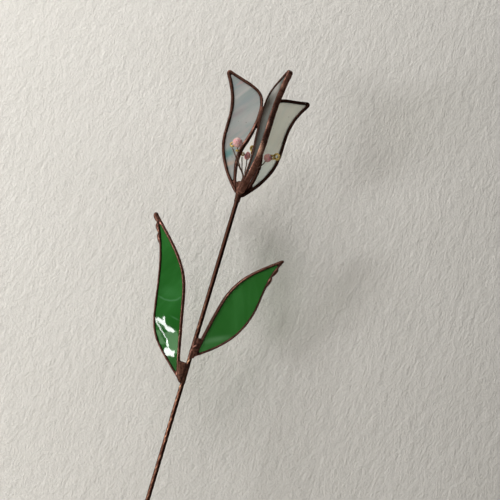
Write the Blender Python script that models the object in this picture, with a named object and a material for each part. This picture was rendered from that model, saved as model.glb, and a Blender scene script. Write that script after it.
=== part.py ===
"""Stained glass tulip on a straight rod, put together by the copper foil method.

Three flat glass petals stand as radial fins round the top of the rod, and two glass leaves are soldered to
its sides. Each pane sits in the groove of a rounded foil and solder channel that follows its S-shaped
outline. Units are metres, +Z runs up the stem, and the origin is the middle of the stem's cut lower end.
"""

import math

import bmesh
import bpy
import numpy as np
from mathutils import Vector

MM = 0.001


def mm(*sizes):
    """Sizes given in millimetres, as metres."""
    return tuple(size * MM for size in sizes)


# Stem
STEM_LENGTH = 303 * MM
STEM_DIAMETER = 3.2 * MM
STEM_SIDES = 28

# Glass and the clearances round it
GLASS_THICKNESS = 2.6 * MM
GLASS_CLEARANCE = 0.25 * MM
SOLDER_CLEARANCE = 0.25 * MM

# The flower's own zero height, above the stem's lower end. The rod stops a little below it, in the solder.
ROD_BELOW_FLOWER = 2 * MM
FLOWER_HEIGHT = STEM_LENGTH + ROD_BELOW_FLOWER

# Petal outline, as reach from the stem's axis and height above the flower's zero. The corners are those of
# the outline before it is rounded.
PETAL_FOOT = (1.0 * MM, -1.6 * MM)
PETAL_HIP = (9.0 * MM, 7.0 * MM)
PETAL_FLANK = (18.4 * MM, 20.8 * MM)
PETAL_BELLY = (23.5 * MM, 34.5 * MM)
PETAL_WAIST = (24.6 * MM, 50.0 * MM)
PETAL_THROAT = (25.5 * MM, 64.0 * MM)
PETAL_NECK = (30.4 * MM, 78.5 * MM)
PETAL_TIP = (39.4 * MM, 93.4 * MM)
PETAL_CREST = (26.0 * MM, 88.7 * MM)
PETAL_SHOULDER = (12.4 * MM, 84.6 * MM)
PETAL_CORNER = (5.0 * MM, 79.8 * MM)
PETAL_TOUCH_TOP = (1.5 * MM, 71.5 * MM)
PETAL_TOUCH = (1.1 * MM, 61.0 * MM)
PETAL_LAP = (3.5 * MM, 46.0 * MM)
PETAL_BAY = (7.2 * MM, 33.0 * MM)
PETAL_COVE = (7.3 * MM, 21.5 * MM)
PETAL_HEEL = (4.7 * MM, 10.3 * MM)
PETAL_TIP_RADIUS = 2.5 * MM
PETAL_FOOT_RADIUS = 0.9 * MM
PETAL_COUNTS = (22, 4, 28, 3)

# Direction of each petal round the stem, in degrees from +X, and how far it was soldered on below the others
PETAL_AZIMUTHS = {"front": -73.0, "right": 20.0, "left": 179.0}
PETAL_SINKS = {"front": 0.0, "right": 1.8 * MM, "left": 0.0}

# Solder channel of a petal: its thickness across the glass and its lip over the face of the glass
PETAL_EDGE_THICKNESS_FOOT = 5.4 * MM
PETAL_EDGE_THICKNESS_TIP = 4.6 * MM
PETAL_LIP_FOOT = 0.8 * MM
PETAL_LIP_TIP = 1.8 * MM
EDGE_WALL = 1.0 * MM
EDGE_ROUND = 1.2 * MM
LIP_THICKNESS = 0.3 * MM
WINDOW_CORNER_RADIUS = 0.3 * MM
EDGE_TURNS = (30, 60, 90)

# How finely an outline is sampled before it is cut to length, and how far its sides run on past their corner
# when they are moved outwards, for each unit that they are moved
SIDE_SAMPLES = 260
CORNER_REACH = 12
CORNER_SPARE = 0.5 * MM

# Leaf outlines, as reach from the stem's axis and height above the leaf's own zero, by its lower corner. The
# left leaf's zero lies this far below the rod's top.
LEFT_LEAF_BELOW_TOP = 141.6 * MM
LEFT_LEAF_AZIMUTH = 166.0
LEFT_LEAF_OUTER = [
    (2.6 * MM, -1.1 * MM),
    (17.9 * MM, 11.8 * MM),
    (31.5 * MM, 26.5 * MM),
    (38.0 * MM, 46.5 * MM),
    (41.8 * MM, 67.0 * MM),
    (47.0 * MM, 87.5 * MM),
    (55.2 * MM, 106.5 * MM),
    (65.9 * MM, 122.9 * MM),
]
LEFT_LEAF_INNER = [
    (65.9 * MM, 122.9 * MM),
    (48.4 * MM, 106.0 * MM),
    (31.8 * MM, 89.0 * MM),
    (21.2 * MM, 72.5 * MM),
    (15.7 * MM, 53.0 * MM),
    (11.1 * MM, 32.5 * MM),
    (6.5 * MM, 13.0 * MM),
    (2.6 * MM, -1.1 * MM),
]
LEFT_LEAF_TIP_RADIUS = 1.2 * MM
LEFT_LEAF_DROPS = (96.0 * MM, 103.2 * MM, 110.8 * MM)
LEFT_LEAF_COUNTS = (18, 4, 20, 3)

RIGHT_LEAF_AZIMUTH = 15.0
RIGHT_LEAF_OUTER = [
    (1.8 * MM, -0.9 * MM),
    (16.6 * MM, 9.0 * MM),
    (31.0 * MM, 24.2 * MM),
    (38.8 * MM, 42.5 * MM),
    (41.7 * MM, 61.0 * MM),
    (45.6 * MM, 77.0 * MM),
    (53.6 * MM, 91.6 * MM),
]
RIGHT_LEAF_INNER = [
    (53.6 * MM, 91.6 * MM),
    (38.6 * MM, 80.4 * MM),
    (22.5 * MM, 66.1 * MM),
    (12.6 * MM, 50.1 * MM),
    (7.4 * MM, 31.5 * MM),
    (3.9 * MM, 14.5 * MM),
    (1.8 * MM, -0.9 * MM),
]
RIGHT_LEAF_TIP_RADIUS = 1.3 * MM
RIGHT_LEAF_DROPS = (68.2 * MM, 76.4 * MM)
RIGHT_LEAF_COUNTS = (16, 4, 18, 3)

LEAF_FOOT_RADIUS = 1.0 * MM
LEAF_EDGE_THICKNESS = 4.6 * MM
LEAF_LIP = 1.2 * MM

# Solder drops on a leaf's rim: their length along it, how far they stand out from it and from its faces, and
# how much fuller than the middle of a drop its end towards the tip is
DROP_LENGTH = 8.0 * MM
DROP_PROUD = 1.5 * MM
DROP_FACE_PROUD = 0.4 * MM
DROP_LEAN = 0.4
DROP_STATIONS = 9

# Solder that joins the leaves to the stem: its height above the leaf's zero, the share of that which it goes
# below it, how far it covers the rod's faces and its far side, the flat between its round sides at its lower
# end, how deep its lumps are, and the bare rod between the left joint and the right one
LEFT_JOINT_LENGTH = 13.2 * MM
LEFT_JOINT_LUMPS = 0.0
RIGHT_JOINT_LENGTH = 13.6 * MM
RIGHT_JOINT_LUMPS = 0.5
JOINT_COVER = 0.65 * MM
JOINT_SLEEVE = 0.35 * MM
JOINT_FLAT = 0.3 * MM
JOINT_BELOW = 0.12
JOINT_END = 0.12
JOINT_FULLNESS = 0.6
JOINT_SPACING = 4.57 * MM
JOINT_ROWS = 9
JOINT_SIDES = 22

# Solder at the foot of the flower. The flare goes from the sleeve to the web's full radius, in shares of the
# way out and of the web's height, and the shoulder draws in over the top, in shares of its radius and height.
BASE_SLEEVE_LENGTH = 5.5 * MM
BASE_SLEEVE_WALL = 0.35 * MM
BASE_SLEEVE_END_WALL = 0.2 * MM
BASE_WEB_RADIUS = 4.4 * MM
BASE_WEB_HEIGHT = 10.4 * MM
BASE_FLARE = [(0.12, 0.0), (0.42, 0.28), (0.85, 0.58), (1.0, 0.80)]
BASE_SHOULDER = [(0.85, 0.94), (0.60, 1.0)]
BASE_SIDES = 32

# Solder in the seam on the axis
SEAM_RADIUS = 2.9 * MM
SEAM_HEIGHT = 62.0 * MM
SEAM_LENGTH = 18.0 * MM
SEAM_STEPS = 9
SEAM_SIDES = 24

# Stamen wires. Each starts on a small ring on the base, at a given direction in degrees, runs straight up
# through the bundle and then through its knots, which are places from the stem's axis and the flower's zero.
WIRE_DIAMETER = 0.8 * MM
WIRE_RING_RADIUS = 1.15 * MM
WIRE_SEAT_GAP = 0.3 * MM
WIRE_BUNDLE_HEIGHT = 4.0 * MM
WIRE_SIDES = 6
WIRE_STEPS = 16
WIRES = [
    {
        "start": 180,
        "knots": [mm(-4.0, -1.8, 18.6), mm(-7.4, -3.4, 22.2), mm(-10.6, -4.4, 26.8), mm(-14.6, -4.6, 32.0)],
    },
    {
        "start": 240,
        "knots": [mm(-3.6, -3.2, 18.4), mm(-6.6, -5.4, 22.4), mm(-9.0, -7.0, 27.4), mm(-11.6, -7.9, 34.6)],
        "stone": "left",
    },
    {"start": 120, "knots": [mm(-2.6, 1.9, 18.6), mm(-4.0, 2.6, 23.0), mm(-6.0, 4.2, 30.0)]},
    {
        "start": 60,
        "knots": [mm(-0.4, 2.4, 18.6), mm(-0.9, 3.8, 23.6), mm(-2.0, 4.8, 30.6)],
        "stone": "middle",
    },
    {"start": 0, "knots": [mm(1.6, 1.2, 18.6), mm(2.2, 3.6, 25.0), mm(1.6, 5.4, 31.0), mm(0.6, 6.0, 35.6)]},
    {
        "start": 300,
        "knots": [
            mm(3.6, -1.8, 18.6),
            mm(8.1, -2.2, 23.8),
            mm(11.6, -2.4, 29.2),
            mm(13.2, -2.4, 33.2),
            mm(16.0, -2.2, 35.4),
        ],
        "stone": "right",
    },
]

# Stone chips: their middle, half their size along each axis, and the seed that sets where their flats are. A
# flat lies at a share of the way out, and its corners are softened a little.
STONES = {
    "left": {"centre": mm(-12.0, -8.0, 36.2), "half": mm(3.9, 3.6, 3.8), "seed": 3},
    "middle": {"centre": mm(-2.2, 5.0, 32.1), "half": mm(2.4, 2.6, 3.2), "seed": 8},
    "right": {"centre": mm(12.9, -2.4, 33.2), "half": mm(3.3, 3.0, 3.3), "seed": 5},
}
STONE_BORE_CLEARANCE = 0.25 * MM
STONE_FLAT_COUNT = 11
STONE_FLAT_OUT = (0.80, 0.95)
STONE_SOFTENING = 0.85

# Gold-coloured wire rings: their middle, the radii of the ring and of its wire, how much longer than wide
# they are, and the axis that they lie round
RING_AROUND = 12
RING_SECTION = 6
RINGS = [
    {"centre": mm(-16.3, -4.6, 34.2), "radii": mm(1.9, 0.5), "stretch": 1.15, "axis": (0.1, 1.0, 0.1)},
    {"centre": mm(-10.2, -7.45, 30.5), "radii": mm(1.25, 0.45), "stretch": 1.0, "axis": (-0.26, -0.12, 0.92)},
    {"centre": mm(-6.3, 4.3, 32.2), "radii": mm(1.2, 0.45), "stretch": 1.25, "axis": (0.2, 1.0, 0.0)},
    {"centre": mm(0.2, 6.1, 39.0), "radii": mm(2.0, 0.5), "stretch": 1.3, "axis": (0.7, 0.7, 0.1)},
    {"centre": mm(19.6, -2.0, 36.6), "radii": mm(2.6, 0.6), "stretch": 1.05, "axis": (0.15, 1.0, 0.2)},
]

SMOOTH_ANGLE = 40


# Curves and outlines


def spline(knots, count):
    """Points of a natural cubic spline through the knots, evenly spaced in its parameter."""
    knots = np.array(knots, float)
    step = np.linalg.norm(np.diff(knots, axis=0), axis=1)
    at = np.concatenate([[0.0], np.cumsum(step)])
    size = len(knots)
    matrix = np.eye(size)
    right = np.zeros_like(knots)
    for i in range(1, size - 1):
        matrix[i, i - 1 : i + 2] = step[i - 1], 2 * (step[i - 1] + step[i]), step[i]
        right[i] = 6 * ((knots[i + 1] - knots[i]) / step[i] - (knots[i] - knots[i - 1]) / step[i - 1])
    bend = np.linalg.solve(matrix, right)
    where = np.linspace(0.0, at[-1], count)
    span = np.clip(np.searchsorted(at, where, side="right") - 1, 0, size - 2)
    length = step[span][:, None]
    after = (where - at[span])[:, None]
    before = length - after
    return (
        bend[span] * before**3 / (6 * length)
        + bend[span + 1] * after**3 / (6 * length)
        + (knots[span] / length - bend[span] * length / 6) * before
        + (knots[span + 1] / length - bend[span + 1] * length / 6) * after
    )


def unit(vectors):
    return vectors / np.linalg.norm(vectors, axis=-1, keepdims=True)


def offset_to_left(points, depth):
    """The line moved to its left by depth, which is one number or one number for each point."""
    along = unit(np.gradient(points, axis=0))
    return points + np.stack([-along[:, 1], along[:, 0]], axis=1) * np.reshape(depth, (-1, 1))


def crossing(first, second):
    """Where the end part of the first line meets the start part of the second, as a place along each."""
    for i in range(len(first) - 2, len(first) // 2, -1):
        a, b = first[i], first[i + 1]
        c, d = second[: len(second) // 2 - 1], second[1 : len(second) // 2]
        run, other = b - a, d - c
        cross = run[0] * other[:, 1] - run[1] * other[:, 0]
        cross = np.where(np.abs(cross) < 1e-18, 1e-18, cross)
        gap = c - a
        s = (gap[:, 0] * other[:, 1] - gap[:, 1] * other[:, 0]) / cross
        t = (gap[:, 0] * run[1] - gap[:, 1] * run[0]) / cross
        hits = np.nonzero((s >= -1e-9) & (s <= 1 + 1e-9) & (t >= -1e-9) & (t <= 1 + 1e-9))[0]
        if len(hits):
            return i + s[hits[0]], hits[0] + t[hits[0]]
    raise ValueError("the two sides of the outline do not meet")


def extended(points, reach):
    """The line made longer by reach at both ends, straight on."""
    start = points[0] + unit(points[0] - points[1]) * reach
    end = points[-1] + unit(points[-1] - points[-2]) * reach
    return np.vstack([start, points, end])


def part_of(points, start, end, shares):
    """Points of the line between two places, at the given shares of the length between them."""
    inner = points[int(math.floor(start)) + 1 : int(math.floor(end)) + 1]
    line = np.vstack([at_place(points, start), inner, at_place(points, end)])
    along = np.concatenate([[0.0], np.cumsum(np.linalg.norm(np.diff(line, axis=0), axis=1))])
    return np.stack([np.interp(shares * along[-1], along, line[:, k]) for k in (0, 1)], axis=1)


def at_place(points, place):
    low = min(int(math.floor(place)), len(points) - 2)
    return points[low] + (points[low + 1] - points[low]) * (place - low)


def walk(points, place, distance):
    """The place that lies the given distance further along the line, or back along it if that is negative."""
    along = np.concatenate([[0.0], np.cumsum(np.linalg.norm(np.diff(points, axis=0), axis=1))])
    here = np.interp(place, np.arange(len(points)), along)
    return float(np.interp(here + distance, along, np.arange(len(points))))


def fillet(before, corner, after, count):
    """Points of the arc that rounds a corner, without its two ends."""
    half = 0.5 * math.acos(float(np.clip(unit(before - corner) @ unit(after - corner), -1.0, 1.0)))
    weight = math.sin(half)
    u = np.linspace(0.0, 1.0, count + 2)[1:-1, None]
    low, middle, high = (1 - u) ** 2, 2 * weight * u * (1 - u), u**2
    return (low * before + middle * corner + high * after) / (low + middle + high)


class Outline:
    """A closed outline with an outer side that runs up and an inner side that runs back down."""

    def __init__(self, outer, inner, tip_radius, foot_radius, counts, drops=()):
        self.outer = spline(outer, SIDE_SAMPLES)
        self.inner = spline(inner, SIDE_SAMPLES)
        self.tip_radius = tip_radius
        self.foot_radius = foot_radius
        self.low = float(self.outer[:, 1].min())
        self.high = float(self.outer[:, 1].max())
        outer_count, self.tip_count, inner_count, self.foot_count = counts
        self.up_shares = np.linspace(0.0, 1.0, outer_count)
        self.down_shares = np.linspace(0.0, 1.0, inner_count)
        self.swell = self.drop_swell(drops)

    def drop_swell(self, drops):
        """Adds points to the outer side at each drop of solder, and says how much each swells, up to 1."""
        line = self.ring(0.0)[: len(self.up_shares)]
        along = np.concatenate([[0.0], np.cumsum(np.linalg.norm(np.diff(line, axis=0), axis=1))])
        reach = 0.5 * DROP_LENGTH / along[-1]
        centres = [float(np.interp(height, line[:, 1], along)) / along[-1] for height in drops]
        for centre in centres:
            clear = np.abs(self.up_shares - centre) > 1.2 * reach
            extra = centre + reach * np.linspace(-1.0, 1.0, DROP_STATIONS)
            kept = self.up_shares[clear | (self.up_shares == 1.0)]
            self.up_shares = np.unique(np.concatenate([kept, extra[extra < 1.0]]))
        swell = np.zeros(len(self.up_shares))
        for centre in centres:
            run = np.clip((self.up_shares - centre) / reach, -1.0, 1.0)
            swell = np.maximum(swell, np.sqrt(1.0 - run**2) * (1.0 + DROP_LEAN * run))
        over_tip = np.linspace(swell[-1], 0.0, self.tip_count + 2)[1:-1]
        others = len(self.down_shares) + self.foot_count
        return np.concatenate([swell, over_tip, np.zeros(others)])

    def swollen(self, ring, amount):
        """A ring of this outline pushed outwards by the amount, where the drops hang."""
        along = unit(np.roll(ring, -1, axis=0) - np.roll(ring, 1, axis=0))
        outwards = np.stack([along[:, 1], -along[:, 0]], axis=1)
        return ring + outwards * (self.swell * amount)[:, None]

    def share(self, heights):
        """How far up the outline the heights lie, from 0 to 1."""
        return np.clip((heights - self.low) / (self.high - self.low), 0.0, 1.0)

    def ring(self, depth_foot, depth_tip=None):
        """The outline moved inwards, by a depth that may change from foot to tip, with rounded corners."""
        depth_tip = depth_foot if depth_tip is None else depth_tip
        sides = []
        for side in (self.outer, self.inner):
            share = self.share(side[:, 1])
            moved = offset_to_left(side, depth_foot + (depth_tip - depth_foot) * share)
            sides.append(extended(moved, CORNER_REACH * abs(depth_foot) + CORNER_SPARE))
        outer, inner = sides
        tip_out, tip_in = crossing(outer, inner)
        foot_in, foot_out = crossing(inner, outer)
        tip = at_place(outer, tip_out)
        foot = at_place(outer, foot_out)
        tip_trim = self.trim(outer, tip_out, inner, tip_in, self.tip_radius - depth_tip)
        foot_trim = self.trim(inner, foot_in, outer, foot_out, self.foot_radius - depth_foot)
        outer_start = walk(outer, foot_out, foot_trim)
        outer_end = walk(outer, tip_out, -tip_trim)
        inner_start = walk(inner, tip_in, tip_trim)
        inner_end = walk(inner, foot_in, -foot_trim)
        up = part_of(outer, outer_start, outer_end, self.up_shares)
        down = part_of(inner, inner_start, inner_end, self.down_shares)
        round_tip = fillet(up[-1], tip, down[0], self.tip_count)
        round_foot = fillet(down[-1], foot, up[0], self.foot_count)
        return np.vstack([up, round_tip, down, round_foot])

    @staticmethod
    def trim(first, first_place, second, second_place, radius):
        """How far back from the corner its rounding starts."""
        radius = max(radius, WINDOW_CORNER_RADIUS)
        corner = at_place(first, first_place)
        back = at_place(first, walk(first, first_place, -2 * radius))
        ahead = at_place(second, walk(second, second_place, 2 * radius))
        half = 0.5 * math.acos(float(np.clip(unit(back - corner) @ unit(ahead - corner), -1.0, 1.0)))
        return radius / math.tan(half)


# Meshes


def mesh_from(name, points, faces, smooth=True):
    mesh = bpy.data.meshes.new(name)
    mesh.from_pydata([tuple(map(float, p)) for p in points], [], faces)
    tidy = bmesh.new()
    tidy.from_mesh(mesh)
    bmesh.ops.recalc_face_normals(tidy, faces=tidy.faces)
    tidy.to_mesh(mesh)
    tidy.free()
    if smooth:
        mesh.shade_smooth()
        mesh.set_sharp_from_angle(angle=math.radians(SMOOTH_ANGLE))
    return mesh


def ring_faces(ring_count, point_count, closed_section):
    """Quads between neighbouring rings, where each ring is a closed loop of point_count points."""
    faces = []
    for i in range(ring_count if closed_section else ring_count - 1):
        j = (i + 1) % ring_count
        for k in range(point_count):
            m = (k + 1) % point_count
            faces.append((i * point_count + k, i * point_count + m, j * point_count + m, j * point_count + k))
    return faces


def in_plane(outline, across):
    """Points of the pane's own frame: reach along X, thickness along Y and height along Z."""
    return np.stack([outline[:, 0], np.broadcast_to(across, len(outline)), outline[:, 1]], axis=1)


def pane_mesh(name, outline, depth, thickness):
    """A flat pane with the outline moved inwards by depth."""
    edge = outline.ring(depth)
    count = len(edge)
    points = np.vstack([in_plane(edge, -thickness / 2), in_plane(edge, thickness / 2)])
    faces = ring_faces(2, count, False)
    faces += [tuple(range(count)), tuple(reversed(range(count, 2 * count)))]
    return mesh_from(name, points, faces, smooth=False)


def dome(outline, grow, half_foot, half_tip):
    """Rings of the rounded outside of a channel on one face, from the rim to its highest line."""
    rings = []
    for angle in EDGE_TURNS:
        turn = math.radians(angle)
        edge = outline.ring((EDGE_ROUND + grow) * (1 - math.cos(turn)) - grow)
        half = half_foot + (half_tip - half_foot) * outline.share(edge[:, 1]) + grow
        half = half + outline.swell * DROP_FACE_PROUD
        rings.append((outline.swollen(edge, DROP_PROUD * math.cos(turn)), half * math.sin(turn)))
    return rings


def channel_mesh(name, outline, half_foot, half_tip, lip_foot, lip_tip):
    """The foil and solder channel: a closed tube of C-shaped section that runs round the whole outline."""
    slot = GLASS_THICKNESS / 2 + GLASS_CLEARANCE
    rim = outline.swollen(outline.ring(0.0), DROP_PROUD)
    window = outline.ring(EDGE_WALL + lip_foot, EDGE_WALL + lip_tip)
    cavity = outline.ring(EDGE_WALL - GLASS_CLEARANCE)
    side = dome(outline, 0.0, half_foot, half_tip)
    side += [(window, slot + LIP_THICKNESS), (window, slot), (cavity, slot)]
    rings = [in_plane(rim, 0.0)]
    rings += [in_plane(edge, half) for edge, half in side]
    rings += [in_plane(edge, -half) for edge, half in reversed(side)]
    return mesh_from(name, np.vstack(rings), ring_faces(len(rings), len(rim), True))


def pillow_mesh(name, outline, half_foot, half_tip, lip_foot, lip_tip, grow):
    """The whole of a framed pane grown by a clearance, to cut the solder that lies against it."""
    rim = outline.ring(-grow)
    window = outline.ring(EDGE_WALL + lip_foot, EDGE_WALL + lip_tip)
    flat = GLASS_THICKNESS / 2 + GLASS_CLEARANCE + LIP_THICKNESS + grow
    side = dome(outline, grow, half_foot, half_tip) + [(window, flat)]
    rings = [in_plane(edge, -half) for edge, half in reversed(side)]
    rings += [in_plane(rim, 0.0)]
    rings += [in_plane(edge, half) for edge, half in side]
    count = len(rim)
    faces = ring_faces(len(rings), count, False)
    last = (len(rings) - 1) * count
    faces += [tuple(range(count)), tuple(reversed(range(last, last + count)))]
    return mesh_from(name, np.vstack(rings), faces)


def turned_mesh(name, profile, sides):
    """A solid of revolution about Z from (radius, height) pairs that run up from the axis and back to it."""
    turns = np.arange(sides) * 2 * math.pi / sides
    body = profile[1:-1]
    points = [
        (radius * math.cos(a), radius * math.sin(a), height) for radius, height in body for a in turns
    ]
    faces = ring_faces(len(body), sides, False)
    low, high = len(points), len(points) + 1
    points += [(0.0, 0.0, profile[0][1]), (0.0, 0.0, profile[-1][1])]
    top = (len(body) - 1) * sides
    for k in range(sides):
        m = (k + 1) % sides
        faces += [(low, m, k), (high, top + k, top + m)]
    return mesh_from(name, points, faces)


def rod_mesh(name, radius, low, high, sides):
    return turned_mesh(name, [(0.0, low), (radius, low), (radius, high), (0.0, high)], sides)


def tube_mesh(name, path, radius, sides):
    """A round tube along a path, with flat ends."""
    path = np.array(path, float)
    along = unit(np.gradient(path, axis=0))
    side = unit(np.cross(along[0], (0.0, 1.0, 0.0)))
    points = []
    for place, forward in zip(path, along):
        side = unit(side - forward * (side @ forward))
        other = np.cross(forward, side)
        for k in range(sides):
            turn = 2 * math.pi * k / sides
            points.append(place + radius * (side * math.cos(turn) + other * math.sin(turn)))
    faces = ring_faces(len(path), sides, False)
    last = (len(path) - 1) * sides
    faces += [tuple(range(sides)), tuple(reversed(range(last, last + sides)))]
    return mesh_from(name, points, faces)


def torus_mesh(name, major, minor, stretch):
    """A wire ring in its own XY plane, stretched along X."""
    points = []
    for i in range(RING_AROUND):
        a = 2 * math.pi * i / RING_AROUND
        for k in range(RING_SECTION):
            b = 2 * math.pi * k / RING_SECTION
            reach = major + minor * math.cos(b)
            points.append((reach * math.cos(a) * stretch, reach * math.sin(a), minor * math.sin(b)))
    return mesh_from(name, points, ring_faces(RING_AROUND, RING_SECTION, True))


def pebble_mesh(name, half_sizes, seed):
    """A tumbled stone chip: a ball whose sides are cut by a few flats and then softened."""
    chance = np.random.default_rng(seed)
    normals = unit(chance.normal(size=(STONE_FLAT_COUNT, 3)))
    depths = chance.uniform(*STONE_FLAT_OUT, size=STONE_FLAT_COUNT)
    ball = bmesh.new()
    bmesh.ops.create_icosphere(ball, subdivisions=3, radius=1.0)
    for vert in ball.verts:
        place = np.array(vert.co)
        for normal, depth in zip(normals, depths):
            over = place @ normal - depth
            if over > 0:
                place = place - normal * over * STONE_SOFTENING
        vert.co = Vector(place * half_sizes)
    mesh = bpy.data.meshes.new(name)
    ball.to_mesh(mesh)
    ball.free()
    mesh.shade_smooth()
    return mesh


# Objects and materials


def material(name, colour, metallic, roughness, transmission=0.0):
    made = bpy.data.materials.new(name)
    made.use_nodes = True
    shader = made.node_tree.nodes["Principled BSDF"]
    shader.inputs["Base Color"].default_value = (*colour, 1.0)
    shader.inputs["Metallic"].default_value = metallic
    shader.inputs["Roughness"].default_value = roughness
    shader.inputs["Transmission Weight"].default_value = transmission
    made.diffuse_color = (*colour, 1.0)
    return made


def petal_glass_material():
    return material("petal_glass", (0.36, 0.40, 0.36), 0.0, 0.15, 0.3)


def leaf_glass_material():
    return material("leaf_glass", (0.02, 0.13, 0.022), 0.0, 0.08)


def solder_material():
    return material("copper_patina", (0.16, 0.075, 0.055), 0.8, 0.42)


def stem_material():
    return material("coppered_rod", (0.17, 0.085, 0.06), 0.8, 0.4)


def wire_material():
    return material("stamen_wire", (0.13, 0.075, 0.055), 0.8, 0.4)


def stone_material():
    return material("pink_stone", (0.55, 0.29, 0.29), 0.0, 0.45)


def ring_material():
    return material("gold_wire", (0.34, 0.26, 0.06), 0.8, 0.35)


def place(name, mesh, finish, location=(0, 0, 0), azimuth=0.0):
    made = bpy.data.objects.new(name, mesh)
    bpy.context.scene.collection.objects.link(made)
    made.location = location
    made.rotation_euler = (0.0, 0.0, math.radians(azimuth))
    if finish is not None:
        mesh.materials.append(finish)
    return made


def guide(name, mesh, location=(0, 0, 0), azimuth=0.0):
    """An object that only cuts others."""
    made = place(name, mesh, None, location, azimuth)
    made.hide_render = True
    made.display_type = "WIRE"
    return made


def boolean(target, cutter, operation="DIFFERENCE"):
    modifier = target.modifiers.new(f"{operation.lower()}_{cutter.name}", "BOOLEAN")
    modifier.operation = operation
    modifier.object = cutter
    modifier.solver = "EXACT"


# The flower


def petal_outline():
    outer = [
        PETAL_FOOT,
        PETAL_HIP,
        PETAL_FLANK,
        PETAL_BELLY,
        PETAL_WAIST,
        PETAL_THROAT,
        PETAL_NECK,
        PETAL_TIP,
    ]
    inner = [
        PETAL_TIP,
        PETAL_CREST,
        PETAL_SHOULDER,
        PETAL_CORNER,
        PETAL_TOUCH_TOP,
        PETAL_TOUCH,
        PETAL_LAP,
        PETAL_BAY,
        PETAL_COVE,
        PETAL_HEEL,
        PETAL_FOOT,
    ]
    return Outline(outer, inner, PETAL_TIP_RADIUS, PETAL_FOOT_RADIUS, PETAL_COUNTS)


def petal_place(name):
    return (0, 0, FLOWER_HEIGHT - PETAL_SINKS[name])


def petal_sizes():
    return (
        PETAL_EDGE_THICKNESS_FOOT / 2,
        PETAL_EDGE_THICKNESS_TIP / 2,
        PETAL_LIP_FOOT,
        PETAL_LIP_TIP,
    )


def mitre_mesh(name, low_angle, high_angle, reach, low, high):
    """A wedge about the axis between two directions, drawn back from each by half a clearance."""
    middle, half = (low_angle + high_angle) / 2, (high_angle - low_angle) / 2
    back = SOLDER_CLEARANCE / 2 / math.sin(half)
    apex = (back * math.cos(middle), back * math.sin(middle))
    corners = [apex]
    for angle, radius in ((low_angle, reach), (middle, 2 * reach), (high_angle, reach)):
        corners.append((apex[0] + radius * math.cos(angle), apex[1] + radius * math.sin(angle)))
    points = [(x, y, z) for z in (low, high) for x, y in corners]
    count = len(corners)
    faces = ring_faces(2, count, False)
    faces += [tuple(range(count)), tuple(reversed(range(count, 2 * count)))]
    return mesh_from(name, points, faces, smooth=False)


def seam_profile(grow):
    """The solder seam on the axis, thick in the middle and drawn out at its ends."""
    half = SEAM_LENGTH / 2 + grow
    radius = SEAM_RADIUS + grow
    profile = []
    for i in range(SEAM_STEPS + 1):
        share = -math.cos(math.pi * i / SEAM_STEPS)
        profile.append((radius * math.sqrt(max(0.0, 1 - abs(share) ** 3)), SEAM_HEIGHT + half * share))
    profile[0] = (0.0, profile[0][1])
    profile[-1] = (0.0, profile[-1][1])
    return profile


def build_petals(glass, solder):
    """The three panes with their channels, which are mitred against each other where they near the axis."""
    outline = petal_outline()
    middle = (0, 0, FLOWER_HEIGHT)
    names = sorted(PETAL_AZIMUTHS, key=PETAL_AZIMUTHS.get)
    angles = [math.radians(PETAL_AZIMUTHS[name]) for name in names]
    seam_mesh = turned_mesh("cut_seam", seam_profile(SOLDER_CLEARANCE), SEAM_SIDES)
    seam_cutter = guide("cut_seam", seam_mesh, middle)
    for i, name in enumerate(names):
        azimuth = PETAL_AZIMUTHS[name]
        before = angles[i - 1] if i else angles[-1] - 2 * math.pi
        after = angles[i + 1] if i + 1 < len(angles) else angles[0] + 2 * math.pi
        place(
            f"petal_glass_{name}",
            pane_mesh(f"petal_glass_{name}", outline, EDGE_WALL, GLASS_THICKNESS),
            glass,
            petal_place(name),
            azimuth,
        )
        edge = place(
            f"petal_edge_{name}",
            channel_mesh(f"petal_edge_{name}", outline, *petal_sizes()),
            solder,
            petal_place(name),
            azimuth,
        )
        wedge = mitre_mesh(
            f"cut_mitre_{name}",
            (angles[i] + before) / 2,
            (angles[i] + after) / 2,
            3 * PETAL_TIP[0],
            -PETAL_TIP[1],
            2 * PETAL_TIP[1],
        )
        boolean(edge, guide(f"cut_mitre_{name}", wedge, middle), "INTERSECT")
        boolean(edge, seam_cutter)


def build_seam(solder):
    """The solder column on the axis, which holds the inner edge of each pane in a slot."""
    outline = petal_outline()
    solid = turned_mesh("petal_seam", seam_profile(0.0), SEAM_SIDES)
    seam = place("petal_seam", solid, solder, (0, 0, FLOWER_HEIGHT))
    slot = GLASS_THICKNESS + 2 * GLASS_CLEARANCE
    for name, azimuth in PETAL_AZIMUTHS.items():
        cutter = pane_mesh(f"cut_slot_{name}", outline, EDGE_WALL - GLASS_CLEARANCE, slot)
        boolean(seam, guide(f"cut_slot_{name}", cutter, petal_place(name), azimuth))


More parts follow.
